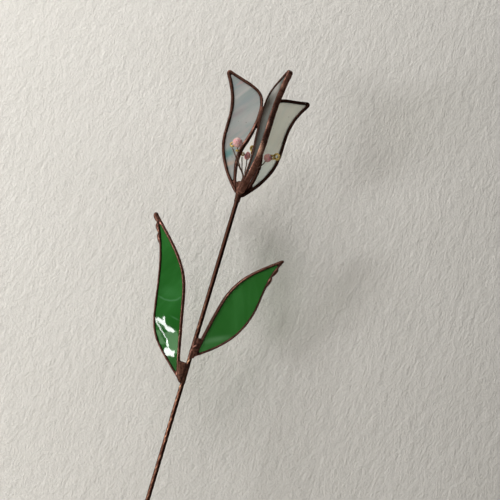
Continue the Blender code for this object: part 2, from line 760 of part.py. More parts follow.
def build_flower_base(solder):
    """The solder cone that sleeves the top of the rod and webs the petals' feet together."""
    outline = petal_outline()
    middle = (0, 0, FLOWER_HEIGHT)
    bore = STEM_DIAMETER / 2 + SOLDER_CLEARANCE
    sleeve = bore + BASE_SLEEVE_WALL
    profile = [
        (0.0, -BASE_SLEEVE_LENGTH),
        (bore + BASE_SLEEVE_END_WALL, -BASE_SLEEVE_LENGTH),
        (sleeve, -0.5 * BASE_SLEEVE_LENGTH),
    ]
    for out, up in BASE_FLARE:
        profile.append((sleeve + out * (BASE_WEB_RADIUS - sleeve), up * BASE_WEB_HEIGHT))
    for out, up in BASE_SHOULDER:
        profile.append((out * BASE_WEB_RADIUS, up * BASE_WEB_HEIGHT))
    profile.append((0.0, BASE_WEB_HEIGHT))
    base = place("flower_base", turned_mesh("flower_base", profile, BASE_SIDES), solder, middle)
    socket_top = STEM_LENGTH - FLOWER_HEIGHT + SOLDER_CLEARANCE
    socket = rod_mesh("cut_socket", bore, -2 * BASE_SLEEVE_LENGTH, socket_top, STEM_SIDES)
    boolean(base, guide("cut_socket", socket, middle))
    for name, azimuth in PETAL_AZIMUTHS.items():
        cutter = pillow_mesh(f"cut_petal_{name}", outline, *petal_sizes(), SOLDER_CLEARANCE)
        boolean(base, guide(f"cut_petal_{name}", cutter, petal_place(name), azimuth))


# The stem and leaves


def build_stem(finish):
    mesh = rod_mesh("stem_rod", STEM_DIAMETER / 2, 0.0, STEM_LENGTH, STEM_SIDES)
    place("stem_rod", mesh, finish)


def joint_swell(share, lumps):
    """How full the joint's solder is at a share of its height: drawn in at both ends, lumpy between them."""
    fullness = math.sin(math.pi * (JOINT_END + (1 - 2 * JOINT_END) * share)) ** JOINT_FULLNESS
    return fullness * (1 + lumps * math.cos(4 * math.pi * share))


def joint_mesh(name, outline, length, lumps):
    """Solder between a leaf's inner rim and the stem: a sleeve round the rod, drawn out flat to the rim."""
    inner = outline.inner[::-1]
    bore = STEM_DIAMETER / 2 + SOLDER_CLEARANCE
    points = []
    for row in range(JOINT_ROWS):
        share = row / (JOINT_ROWS - 1)
        height = length * ((1 + JOINT_BELOW) * share - JOINT_BELOW)
        swell = joint_swell(share, lumps)
        side = bore + JOINT_SLEEVE * min(swell, 1.0)
        face = bore + JOINT_COVER * swell
        rim = np.interp(height, [-length * JOINT_BELOW, *inner[:, 1]], [0.0, *inner[:, 0]])
        flat = max(rim + EDGE_WALL + SOLDER_CLEARANCE - side, JOINT_FLAT)
        for k in range(JOINT_SIDES):
            near = k < JOINT_SIDES // 2
            turn = math.pi * (k % (JOINT_SIDES // 2) / (JOINT_SIDES // 2 - 1) + (0.5 if near else -0.5))
            points.append(((0.0 if near else flat) + side * math.cos(turn), face * math.sin(turn), height))
    faces = ring_faces(JOINT_ROWS, JOINT_SIDES, False)
    last = (JOINT_ROWS - 1) * JOINT_SIDES
    faces += [tuple(range(JOINT_SIDES)), tuple(reversed(range(last, last + JOINT_SIDES)))]
    return mesh_from(name, points, faces)


def build_leaf(side, outline, height, azimuth, joint, glass, solder):
    """One leaf: its pane, its channel, and the joint of a given length and lumps that holds it."""
    at = (0, 0, height)
    half = LEAF_EDGE_THICKNESS / 2
    pane = pane_mesh(f"leaf_glass_{side}", outline, EDGE_WALL, GLASS_THICKNESS)
    place(f"leaf_glass_{side}", pane, glass, at, azimuth)
    channel = channel_mesh(f"leaf_edge_{side}", outline, half, half, LEAF_LIP, LEAF_LIP)
    edge = place(f"leaf_edge_{side}", channel, solder, at, azimuth)
    joint_solid = joint_mesh(f"leaf_joint_{side}", outline, *joint)
    solid = place(f"leaf_joint_{side}", joint_solid, solder, at, azimuth)
    length = joint[0]
    rod = rod_mesh(f"cut_rod_{side}", STEM_DIAMETER / 2 + SOLDER_CLEARANCE, -length, 2 * length, STEM_SIDES)
    rod_cutter = guide(f"cut_rod_{side}", rod, at)
    sizes = (outline, half, half, LEAF_LIP, LEAF_LIP, SOLDER_CLEARANCE)
    whole = guide(f"cut_leaf_{side}", pillow_mesh(f"cut_leaf_{side}", *sizes), at, azimuth)
    boolean(edge, rod_cutter)
    boolean(solid, rod_cutter)
    boolean(solid, whole)


def build_leaves(glass, solder):
    left = Outline(
        LEFT_LEAF_OUTER,
        LEFT_LEAF_INNER,
        LEFT_LEAF_TIP_RADIUS,
        LEAF_FOOT_RADIUS,
        LEFT_LEAF_COUNTS,
        LEFT_LEAF_DROPS,
    )
    right = Outline(
        RIGHT_LEAF_OUTER,
        RIGHT_LEAF_INNER,
        RIGHT_LEAF_TIP_RADIUS,
        LEAF_FOOT_RADIUS,
        RIGHT_LEAF_COUNTS,
        RIGHT_LEAF_DROPS,
    )
    left_joint = (LEFT_JOINT_LENGTH, LEFT_JOINT_LUMPS)
    right_joint = (RIGHT_JOINT_LENGTH, RIGHT_JOINT_LUMPS)
    left_height = STEM_LENGTH - LEFT_LEAF_BELOW_TOP
    left_joint_top = left_height + LEFT_JOINT_LENGTH
    right_height = left_joint_top + JOINT_SPACING + JOINT_BELOW * RIGHT_JOINT_LENGTH
    build_leaf("left", left, left_height, LEFT_LEAF_AZIMUTH, left_joint, glass, solder)
    build_leaf("right", right, right_height, RIGHT_LEAF_AZIMUTH, right_joint, glass, solder)


# The stamens


def wire_path(start, knots, beyond=0.0):
    """A smooth wire from its seat on the solder, up through the bundle and out to its own end."""
    turn = math.radians(start)
    seat = BASE_WEB_HEIGHT + WIRE_SEAT_GAP
    foot = np.array([WIRE_RING_RADIUS * math.cos(turn), WIRE_RING_RADIUS * math.sin(turn), seat])
    bundle = foot + (0.0, 0.0, WIRE_BUNDLE_HEIGHT)
    path = spline([foot, bundle] + knots, WIRE_STEPS)
    if beyond:
        path = np.vstack([path, path[-1] + unit(path[-1] - path[-2]) * beyond])
    return path


def build_stamens(wire, stone, gold):
    """Six wires, three stone chips and five small gold-coloured rings."""
    zero = Vector((0, 0, FLOWER_HEIGHT))
    stones = {}
    for name, sizes in STONES.items():
        mesh = pebble_mesh(f"stamen_stone_{name}", np.array(sizes["half"]), sizes["seed"])
        stones[name] = place(f"stamen_stone_{name}", mesh, stone, Vector(sizes["centre"]) + zero)
    for number, route in enumerate(WIRES, 1):
        name = f"stamen_wire_{number}"
        path = wire_path(route["start"], route["knots"])
        place(name, tube_mesh(name, path, WIRE_DIAMETER / 2, WIRE_SIDES), wire, zero)
        if "stone" in route:
            longer = wire_path(route["start"], route["knots"], STONE_BORE_CLEARANCE)
            radius = WIRE_DIAMETER / 2 + STONE_BORE_CLEARANCE
            bore = tube_mesh(f"cut_bore_{number}", longer, radius, WIRE_SIDES)
            boolean(stones[route["stone"]], guide(f"cut_bore_{number}", bore, zero))
    for number, sizes in enumerate(RINGS, 1):
        name = f"stamen_ring_{number}"
        mesh = torus_mesh(name, *sizes["radii"], sizes["stretch"])
        turn = Vector((0, 0, 1)).rotation_difference(Vector(sizes["axis"]))
        ring = place(name, mesh, gold, Vector(sizes["centre"]) + zero)
        ring.rotation_euler = turn.to_euler()


def clear_scene():
    for existing in list(bpy.data.objects):
        bpy.data.objects.remove(existing, do_unlink=True)


def main():
    clear_scene()
    solder = solder_material()
    build_stem(stem_material())
    build_leaves(leaf_glass_material(), solder)
    build_flower_base(solder)
    build_petals(petal_glass_material(), solder)
    build_seam(solder)
    build_stamens(wire_material(), stone_material(), ring_material())


main()
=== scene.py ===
"""Stained glass tulip: the visual model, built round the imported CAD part."""

from __future__ import annotations

import logging
import math
from dataclasses import dataclass
from enum import Enum

import bmesh
import bpy
import numpy as np
from mathutils import Matrix, Vector, noise
from mathutils.kdtree import KDTree


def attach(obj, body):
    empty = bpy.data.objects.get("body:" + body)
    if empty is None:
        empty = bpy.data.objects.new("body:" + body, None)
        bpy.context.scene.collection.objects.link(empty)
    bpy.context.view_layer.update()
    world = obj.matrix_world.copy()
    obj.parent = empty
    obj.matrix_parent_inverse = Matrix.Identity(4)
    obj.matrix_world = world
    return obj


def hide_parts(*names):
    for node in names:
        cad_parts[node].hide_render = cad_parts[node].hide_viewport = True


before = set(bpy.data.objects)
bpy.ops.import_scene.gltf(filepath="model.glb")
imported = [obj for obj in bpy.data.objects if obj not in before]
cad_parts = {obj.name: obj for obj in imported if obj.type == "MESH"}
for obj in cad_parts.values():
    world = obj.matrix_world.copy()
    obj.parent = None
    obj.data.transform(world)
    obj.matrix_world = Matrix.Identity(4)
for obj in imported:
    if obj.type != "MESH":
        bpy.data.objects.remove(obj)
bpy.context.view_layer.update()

LOG = logging.getLogger("tulip")
MM = 0.001
FLOWER_HEIGHT = 305.0
Pair = tuple[float, float]
Triple = tuple[float, float, float]
Colour = tuple[float, float, float]
Faces = list[tuple[int, ...]]
Socket = bpy.types.NodeSocket
TINY = 1e-12
SLACK = 1e-9


class Turn(Enum):
    """Which way a coil is wound."""

    WITH_CLOCK = 1
    AGAINST_CLOCK = -1


# Curves


def spline(knots: np.ndarray, count: int) -> np.ndarray:
    """Runs a natural cubic spline through knots.

    Args:
        knots: The points to pass through, one row each.
        count: How many points to return.

    Returns:
        Points evenly spaced in the spline's parameter.
    """
    knots = np.array(knots, float)
    step = np.linalg.norm(np.diff(knots, axis=0), axis=1)
    at = np.concatenate([[0.0], np.cumsum(step)])
    size = len(knots)
    matrix = np.eye(size)
    right = np.zeros_like(knots)
    for i in range(1, size - 1):
        matrix[i, i - 1 : i + 2] = step[i - 1], 2 * (step[i - 1] + step[i]), step[i]
        right[i] = 6 * ((knots[i + 1] - knots[i]) / step[i] - (knots[i] - knots[i - 1]) / step[i - 1])
    bend = np.linalg.solve(matrix, right)
    where = np.linspace(0.0, at[-1], count)
    span = np.clip(np.searchsorted(at, where, side="right") - 1, 0, size - 2)
    length = step[span][:, None]
    after = (where - at[span])[:, None]
    before = length - after
    return (
        bend[span] * before**3 / (6 * length)
        + bend[span + 1] * after**3 / (6 * length)
        + (knots[span] / length - bend[span] * length / 6) * before
        + (knots[span + 1] / length - bend[span + 1] * length / 6) * after
    )


def unit(vectors: np.ndarray) -> np.ndarray:
    """Vectors scaled to length one."""
    return vectors / np.linalg.norm(vectors, axis=-1, keepdims=True)


def lengths_along(points: np.ndarray) -> np.ndarray:
    """Distance of each point from the first, along the line."""
    return np.concatenate([[0.0], np.cumsum(np.linalg.norm(np.diff(points, axis=0), axis=1))])


def at_place(points: np.ndarray, place: float) -> np.ndarray:
    """Point at a place given as index and fraction."""
    low = min(int(math.floor(place)), len(points) - 2)
    return points[low] + (points[low + 1] - points[low]) * (place - low)


def walk(points: np.ndarray, place: float, distance: float) -> float:
    """Place that lies a distance further along the line, or back if it is negative.

    Args:
        points: The line.
        place: Where to start, as index and fraction.
        distance: How far to go, in the points' unit.

    Returns:
        The place, as index and fraction.
    """
    along = lengths_along(points)
    here = np.interp(place, np.arange(len(points)), along)
    return float(np.interp(here + distance, along, np.arange(len(points))))


def crossing(first: np.ndarray, second: np.ndarray) -> Pair:
    """Finds where the end part of one line meets the start part of another.

    Args:
        first: Line whose second half is searched, from its end.
        second: Line whose first half is searched.

    Returns:
        The meeting point as a place along each line.
    """
    for i in range(len(first) - 2, len(first) // 2, -1):
        a, b = first[i], first[i + 1]
        c, d = second[: len(second) // 2 - 1], second[1 : len(second) // 2]
        run, other = b - a, d - c
        cross = run[0] * other[:, 1] - run[1] * other[:, 0]
        cross = np.where(np.abs(cross) < TINY, TINY, cross)
        gap = c - a
        s = (gap[:, 0] * other[:, 1] - gap[:, 1] * other[:, 0]) / cross
        t = (gap[:, 0] * run[1] - gap[:, 1] * run[0]) / cross
        inside = (s >= -SLACK) & (s <= 1 + SLACK) & (t >= -SLACK) & (t <= 1 + SLACK)
        hits = np.nonzero(inside)[0]
        if len(hits):
            return i + s[hits[0]], hits[0] + t[hits[0]]
    raise ValueError("the two sides of the outline do not meet")


def half_angle(before: np.ndarray, corner: np.ndarray, after: np.ndarray) -> float:
    """Half the angle between the two sides of a corner."""
    return 0.5 * math.acos(float(np.clip(unit(before - corner) @ unit(after - corner), -1.0, 1.0)))


def fillet(before: np.ndarray, corner: np.ndarray, after: np.ndarray, count: int) -> np.ndarray:
    """Rounds a corner with an arc.

    Args:
        before: Where the arc starts.
        corner: The sharp corner.
        after: Where the arc ends.
        count: How many points to return.

    Returns:
        Points of the arc, without its two ends.
    """
    weight = math.sin(half_angle(before, corner, after))
    u = np.linspace(0.0, 1.0, count + 2)[1:-1, None]
    low, middle, high = (1 - u) ** 2, 2 * weight * u * (1 - u), u**2
    return (low * before + middle * corner + high * after) / (low + middle + high)


@dataclass(frozen=True)
class Outline:
    """Closed outline of a framed pane, as reach from the stem and height, in millimetres."""

    outer: tuple[Pair, ...]
    inner: tuple[Pair, ...]
    tip_radius: float
    foot_radius: float
    drops: tuple[float, ...] = ()
    drop_length: float = 8.0
    drop_lean: float = 0.4
    spacing: float = 0.7
    corner_points: int = 8
    samples: int = 260
    least_radius: float = 0.3
    run_on: float = 12.0
    run_on_least: float = 0.5

    def sides(self) -> tuple[np.ndarray, np.ndarray]:
        """Both sides as fine lines, the outer one running up and the inner one down."""
        return spline(self.outer, self.samples), spline(self.inner, self.samples)

    def share(self, heights: np.ndarray) -> np.ndarray:
        """How far up the outline the heights lie, from 0 to 1."""
        low, high = self.outer[0][1], self.outer[-1][1]
        return np.clip((heights - low) / (high - low), 0.0, 1.0)

    def counts(self) -> tuple[int, int]:
        """How many points each side gets."""
        return tuple(int(lengths_along(side)[-1] / self.spacing) for side in self.sides())

    def trim(self, first: np.ndarray, leave: float, second: np.ndarray, enter: float, radius: float) -> float:
        """Finds how far back from a corner its rounding starts.

        Args:
            first: Line that runs to the corner.
            leave: The corner's place on it.
            second: Line that runs on from the corner.
            enter: The corner's place on that one.
            radius: Radius of the rounding.

        Returns:
            The distance from the corner along each line.
        """
        radius = max(radius, self.least_radius)
        corner = at_place(first, leave)
        back = at_place(first, walk(first, leave, -2 * radius))
        ahead = at_place(second, walk(second, enter, 2 * radius))
        return radius / math.tan(half_angle(back, corner, ahead))

    def ring(self, depth_foot: float, depth_tip: float | None = None) -> np.ndarray:
        """Moves the outline inwards and rounds its corners.

        Args:
            depth_foot: How far it moves at the foot.
            depth_tip: How far it moves at the tip, or the same if left out.

        Returns:
            A closed ring with the same number of points at every depth.
        """
        depth_tip = depth_foot if depth_tip is None else depth_tip
        moved = []
        for side in self.sides():
            along = unit(np.gradient(side, axis=0))
            inwards = np.stack([-along[:, 1], along[:, 0]], axis=1)
            depth = depth_foot + (depth_tip - depth_foot) * self.share(side[:, 1])
            line = side + inwards * depth[:, None]
            reach = self.run_on * abs(depth_foot) + self.run_on_least
            start = line[0] + unit(line[0] - line[1]) * reach
            end = line[-1] + unit(line[-1] - line[-2]) * reach
            moved.append(np.vstack([start, line, end]))
        outer, inner = moved
        tip_out, tip_in = crossing(outer, inner)
        foot_in, foot_out = crossing(inner, outer)
        tip, foot = at_place(outer, tip_out), at_place(outer, foot_out)
        tip_trim = self.trim(outer, tip_out, inner, tip_in, self.tip_radius - depth_tip)
        foot_trim = self.trim(inner, foot_in, outer, foot_out, self.foot_radius - depth_foot)
        count_up, count_down = self.counts()
        up = self.part(outer, walk(outer, foot_out, foot_trim), walk(outer, tip_out, -tip_trim), count_up)
        down = self.part(inner, walk(inner, tip_in, tip_trim), walk(inner, foot_in, -foot_trim), count_down)
        round_tip = fillet(up[-1], tip, down[0], self.corner_points)
        round_foot = fillet(down[-1], foot, up[0], self.corner_points)
        return np.vstack([up, round_tip, down, round_foot])

    @staticmethod
    def part(points: np.ndarray, start: float, end: float, count: int) -> np.ndarray:
        """Picks evenly spaced points of a line.

        Args:
            points: The line.
            start: Place on it to start at.
            end: Place on it to end at.
            count: How many points to return.

        Returns:
            The points, with both places among them.
        """
        middle = points[int(math.floor(start)) + 1 : int(math.floor(end)) + 1]
        line = np.vstack([at_place(points, start), middle, at_place(points, end)])
        along = lengths_along(line)
        where = np.linspace(0.0, along[-1], count)
        return np.stack([np.interp(where, along, line[:, k]) for k in (0, 1)], axis=1)

    def swell(self) -> np.ndarray:
        """Works out where drops of solder hang on the outer side.

        Returns:
            How much each point of a ring swells, from 0 to about 1.
        """
        rim = self.ring(0.0)
        count_up, count_down = self.counts()
        line = rim[:count_up]
        along = lengths_along(line)
        amount = np.zeros(count_up)
        for height in self.drops:
            centre = float(np.interp(height, line[:, 1], along))
            run = np.clip((along - centre) / (0.5 * self.drop_length), -1.0, 1.0)
            amount = np.maximum(amount, np.sqrt(1.0 - run**2) * (1.0 + self.drop_lean * run))
        over_tip = np.linspace(amount[-1], 0.0, self.corner_points + 2)[1:-1]
        return np.concatenate([amount, over_tip, np.zeros(count_down + self.corner_points)])


# Meshes


def new_mesh(name: str, points: np.ndarray, faces: Faces) -> bpy.types.Mesh:
    """Makes a mesh with its faces turned outwards and shaded smooth.

    Args:
        name: The mesh's name.
        points: Its vertices, one row each.
        faces: The point numbers of each face.

    Returns:
        The mesh.
    """
    mesh = bpy.data.meshes.new(name)
    mesh.from_pydata([tuple(map(float, point)) for point in points], [], faces)
    tidy = bmesh.new()
    tidy.from_mesh(mesh)
    bmesh.ops.recalc_face_normals(tidy, faces=tidy.faces)
    tidy.to_mesh(mesh)
    tidy.free()
    mesh.shade_smooth()
    return mesh


def new_object(name: str, mesh: bpy.types.Mesh) -> bpy.types.Object:
    """Adds an object with a mesh to the scene.

    Args:
        name: The object's name.
        mesh: Its mesh.

    Returns:
        The object.
    """
    made = bpy.data.objects.new(name, mesh)
    bpy.context.scene.collection.objects.link(made)
    return made


def loft_faces(rings: int, points: int, closed: bool) -> Faces:
    """Quads between neighbouring rings of equal size.

    Args:
        rings: How many rings there are.
        points: How many points each ring has.
        closed: Whether the last ring joins the first.

    Returns:
        One tuple of four point numbers for each quad.
    """
    faces = []
    for i in range(rings if closed else rings - 1):
        j = (i + 1) % rings
        for k in range(points):
            m = (k + 1) % points
            faces.append((i * points + k, i * points + m, j * points + m, j * points + k))
    return faces


def capped_faces(rings: int, sides: int) -> Faces:
    """Faces of a tube with both ends closed.

    Args:
        rings: How many rings the tube has.
        sides: How many points each ring has.

    Returns:
        The quads of the wall, then the two ends.
    """
    last = (rings - 1) * sides
    return loft_faces(rings, sides, False) + [tuple(range(sides)), tuple(reversed(range(last, last + sides)))]


def tube(path: np.ndarray, radii: np.ndarray, sides: int) -> tuple[np.ndarray, Faces]:
    """Sweeps a circle along a path.

    Args:
        path: Centre line, one row for each ring.
        radii: Radius at each ring.
        sides: Points round each ring.

    Returns:
        The points and the faces, with both ends closed.
    """
    along = unit(np.gradient(path, axis=0))
    side = unit(np.cross(along[0], (0.13, 1.0, 0.07)))
    points = []
    for middle, forward, radius in zip(path, along, radii):
        side = unit(side - forward * (side @ forward))
        other = np.cross(forward, side)
        for k in range(sides):
            angle = 2 * math.pi * k / sides
            points.append(middle + radius * (side * math.cos(angle) + other * math.sin(angle)))
    return np.array(points), capped_faces(len(path), sides)


def vertex_array(mesh: bpy.types.Mesh) -> np.ndarray:
    """Places of a mesh's vertices, one row each.

    Args:
        mesh: The mesh.

    Returns:
        The places, in the mesh's unit.
    """
    places = np.empty(len(mesh.vertices) * 3)
    mesh.vertices.foreach_get("co", places)
    return places.reshape(-1, 3)


def normal_array(mesh: bpy.types.Mesh) -> np.ndarray:
    """Normals of a mesh's vertices, one row each.

    Args:
        mesh: The mesh.

    Returns:
        The normals, of length one.
    """
    normals = np.empty(len(mesh.vertices) * 3)
    mesh.vertex_normals.foreach_get("vector", normals)
    return normals.reshape(-1, 3)


def put_vertices(mesh: bpy.types.Mesh, places: np.ndarray) -> None:
    """Moves a mesh's vertices."""
    mesh.vertices.foreach_set("co", np.ascontiguousarray(places).ravel())
    mesh.update()


def store(mesh: bpy.types.Mesh, name: str, values: np.ndarray) -> None:
    """Keeps one number from 0 to 1 for each vertex as a named attribute.

    Args:
        mesh: The mesh to keep it on.
        name: The attribute's name.
        values: The numbers, which are cut to that range.
    """
    kept = mesh.attributes.new(name, "FLOAT", "POINT")
    kept.data.foreach_set("value", np.ascontiguousarray(np.clip(values, 0.0, 1.0), dtype=np.float32))


def distances(places: np.ndarray, targets: np.ndarray) -> np.ndarray:
    """Measures how far each place is from the nearest of the targets.

    Args:
        places: Points to measure from, one row each.
        targets: Points to measure to, one row each.

    Returns:
        One distance for each place.
    """
    tree = KDTree(len(targets))
    for i, target in enumerate(targets):
        tree.insert(target, i)
    tree.balance()
    return np.array([tree.find(place)[2] for place in places])


def neighbours_mean(mesh: bpy.types.Mesh, values: np.ndarray) -> np.ndarray:
    """Averages values over the neighbours of each vertex.

    Args:
        mesh: The mesh whose edges say which vertices are neighbours.
        values: One number or row for each vertex.

    Returns:
        The mean over each vertex's neighbours.
    """
    ends = np.empty(len(mesh.edges) * 2, dtype=np.int64)
    mesh.edges.foreach_get("vertices", ends)
    ends = ends.reshape(-1, 2)
    total = np.zeros_like(values)
    count = np.zeros(len(values))
    for a, b in ((0, 1), (1, 0)):
        np.add.at(total, ends[:, a], values[ends[:, b]])
        np.add.at(count, ends[:, a], 1.0)
    return total / count.reshape((-1,) + (1,) * (values.ndim - 1))


def hand_over(
    made: bpy.types.Object, material: bpy.types.Material, slot: str, *nodes: str
) -> bpy.types.Object:
    """Dresses a piece, lets it ride on the body and stand for its CAD nodes, and reports it.

    Args:
        made: The piece.
        material: Its material.
        slot: The slot that the material belongs to; not used.
        nodes: The CAD nodes that it stands for, if any.

    Returns:
        The piece.
    """
    made.data.materials.clear()
    made.data.materials.append(material)
    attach(made, "root")
    if nodes:
        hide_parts(*nodes)
    LOG.info("%s: %d faces for %s", made.name, len(made.data.polygons), ", ".join(nodes) or "no CAD node")
    return made


# Shader graphs


class Graph:
    """A node tree with short calls to add nodes and links to it."""

    def __init__(self, tree: bpy.types.NodeTree) -> None:
        """Keeps the tree."""
        self.tree = tree

    def add(self, kind: str, **settings: object) -> bpy.types.Node:
        """Adds a node and sets its properties.

        Args:
            kind: The node's type.
            settings: Its properties by name.

        Returns:
            The node.
        """
        node = self.tree.nodes.new(kind)
        for name, value in settings.items():
            setattr(node, name, value)
        return node

    def feed(self, socket: Socket, value: object) -> None:
        """Links a socket to another, or sets it to a constant.

        Args:
            socket: The input to feed.
            value: An output to link, a number, a vector or a colour without its alpha.
        """
        if isinstance(value, Socket):
            self.tree.links.new(value, socket)
        elif hasattr(socket.default_value, "__len__") and len(socket.default_value) == 4 and len(value) == 3:
            socket.default_value = (*value, 1.0)
        else:
            socket.default_value = value

    def feed_named(self, node: bpy.types.Node, **values: object) -> bpy.types.Node:
        """Feeds a node's inputs, whose names have spaces for underscores, and returns it."""
        for name, value in values.items():
            self.feed(node.inputs[name.replace("_", " ")], value)
        return node

    def maths(self, operation: str, first: object, second: object = 0.5, clamp: bool = False) -> Socket:
        """Does a sum with a Math node.

        Args:
            operation: The node's operation.
            first: Its first number or socket.
            second: Its second one, where the operation has two.
            clamp: Whether the result is kept between 0 and 1.

        Returns:
            The result's socket.
        """
        node = self.add("ShaderNodeMath", operation=operation, use_clamp=clamp)
        self.feed(node.inputs[0], first)
        if len(node.inputs) > 1:
            self.feed(node.inputs[1], second)
        return node.outputs[0]

    def times(self, first: object, second: object) -> Socket:
        """Product of two values."""
        return self.maths("MULTIPLY", first, second)

    def plus(self, first: object, second: object, clamp: bool = False) -> Socket:
        """Sum of two values."""
        return self.maths("ADD", first, second, clamp)

    def minus(self, first: object, second: object, clamp: bool = False) -> Socket:
        """Difference of two values."""
        return self.maths("SUBTRACT", first, second, clamp)

    def mix(self, share: object, first: object, second: object) -> Socket:
        """Colour that goes from the first to the second as the share rises.

        Args:
            share: How far it has gone, from 0 to 1.
            first: Colour at 0.
            second: Colour at 1.

        Returns:
            The socket of the mixed colour.
        """
        node = self.add("ShaderNodeMix", data_type="RGBA", clamp_factor=True)
        for number, value in ((0, share), (6, first), (7, second)):
            self.feed(node.inputs[number], value)
        return node.outputs[2]

    def step(self, value: object, low: float, high: float, start: float = 0.0, end: float = 1.0) -> Socket:
        """Makes a smooth step.

        Args:
            value: What the step depends on.
            low: Value at which it starts.
            high: Value at which it is over.
            start: Result up to there.
            end: Result from there on.

        Returns:
            The result's socket.
        """
        node = self.add("ShaderNodeMapRange", interpolation_type="SMOOTHSTEP")
        self.feed_named(node, Value=value, From_Min=low, From_Max=high, To_Min=start, To_Max=end)
        return node.outputs["Result"]

    def noise(
        self, vector: object, scale: object, detail: float = 3.0, rough: float = 0.5, bend: float = 0.0
    ) -> Socket:
        """Reads a noise texture.

        Args:
            vector: Coordinates.
            scale: How fine it is.
            detail: How many finer layers it has.
            rough: How strong these are.
            bend: How much it is distorted.

        Returns:
            The socket of its value.
        """
        node = self.add("ShaderNodeTexNoise", noise_dimensions="3D")
        self.feed_named(node, Vector=vector, Scale=scale, Detail=detail, Roughness=rough, Distortion=bend)
        return node.outputs["Fac"]

    def placed(
        self, vector: object, move: object = (0, 0, 0), turn: object = (0, 0, 0), stretch: object = (1, 1, 1)
    ) -> Socket:
        """Coordinates moved, turned and stretched by a Mapping node.

        Args:
            vector: The coordinates.
            move: How far they are moved.
            turn: Their turn, in radians.
            stretch: Their scale along each axis.

        Returns:
            The socket of the changed coordinates.
        """
        node = self.add("ShaderNodeMapping", vector_type="POINT")
        self.feed_named(node, Vector=vector, Location=move, Rotation=turn, Scale=stretch)
        return node.outputs["Vector"]

    def bump(self, height: object, strength: float, distance: float) -> Socket:
        """Normal of a Bump node."""
        node = self.add("ShaderNodeBump")
        return self.feed_named(node, Height=height, Strength=strength, Distance=distance).outputs["Normal"]

    def kept(self, name: str) -> Socket:
        """Value of an attribute that is stored on the mesh."""
        return self.add("ShaderNodeAttribute", attribute_name=name).outputs["Fac"]

    def axes(self, vector: object) -> bpy.types.NodeOutputs:
        """The X, Y and Z of a vector.

        Args:
            vector: The vector to take apart.

        Returns:
            The three outputs.
        """
        node = self.add("ShaderNodeSeparateXYZ")
        self.feed(node.inputs[0], vector)
        return node.outputs

    def vector_maths(self, operation: str, *values: object) -> bpy.types.NodeOutputs:
        """Outputs of a Vector Math node.

        Args:
            operation: What the node does.
            values: Its inputs in order.

        Returns:
            The node's outputs.
        """
        node = self.add("ShaderNodeVectorMath", operation=operation)
        for socket, value in zip(node.inputs, values):
            self.feed(socket, value)
        return node.outputs

    def surface(self, share: object, first: Socket, second: Socket) -> None:
        """Sends a mix of two shaders to the material's output.

        Args:
            share: Share of the second shader.
            first: Shader where the share is 0.
            second: Shader where it is 1.
        """
        node = self.add("ShaderNodeMixShader")
        for socket, value in zip(node.inputs, (share, first, second)):
            self.feed(socket, value)
        self.feed(self.tree.nodes["Material Output"].inputs["Surface"], node.outputs[0])

    def group(self, tree: bpy.types.NodeTree, **values: object) -> bpy.types.Node:
        """Places a node group and feeds its inputs."""
        return self.feed_named(self.add("ShaderNodeGroup", node_tree=tree), **values)


class GroupBuilder:
    """Starts a shader node group with named inputs and outputs."""

    def __init__(self, name: str, inputs: dict[str, object], outputs: tuple[str, ...]) -> None:
        """Makes the group's sockets.

        Args:
            name: The group's name.
            inputs: Each input's name and default, a number or a vector.
            outputs: The names of the outputs, all of them numbers.
        """
        self.tree = bpy.data.node_groups.new(name, "ShaderNodeTree")
        for title, default in inputs.items():
            kind = "NodeSocketVector" if isinstance(default, tuple) else "NodeSocketFloat"
            socket = self.tree.interface.new_socket(title, in_out="INPUT", socket_type=kind)
            socket.default_value = default
        for title in outputs:
            self.tree.interface.new_socket(title, in_out="OUTPUT", socket_type="NodeSocketFloat")
        self.graph = Graph(self.tree)
        self.inputs = self.graph.add("NodeGroupInput").outputs
        self.outputs = self.graph.add("NodeGroupOutput").inputs

    def give(self, title: str, value: Socket) -> None:
        """Links a result to an output of the group."""
        self.tree.links.new(value, self.outputs[title])


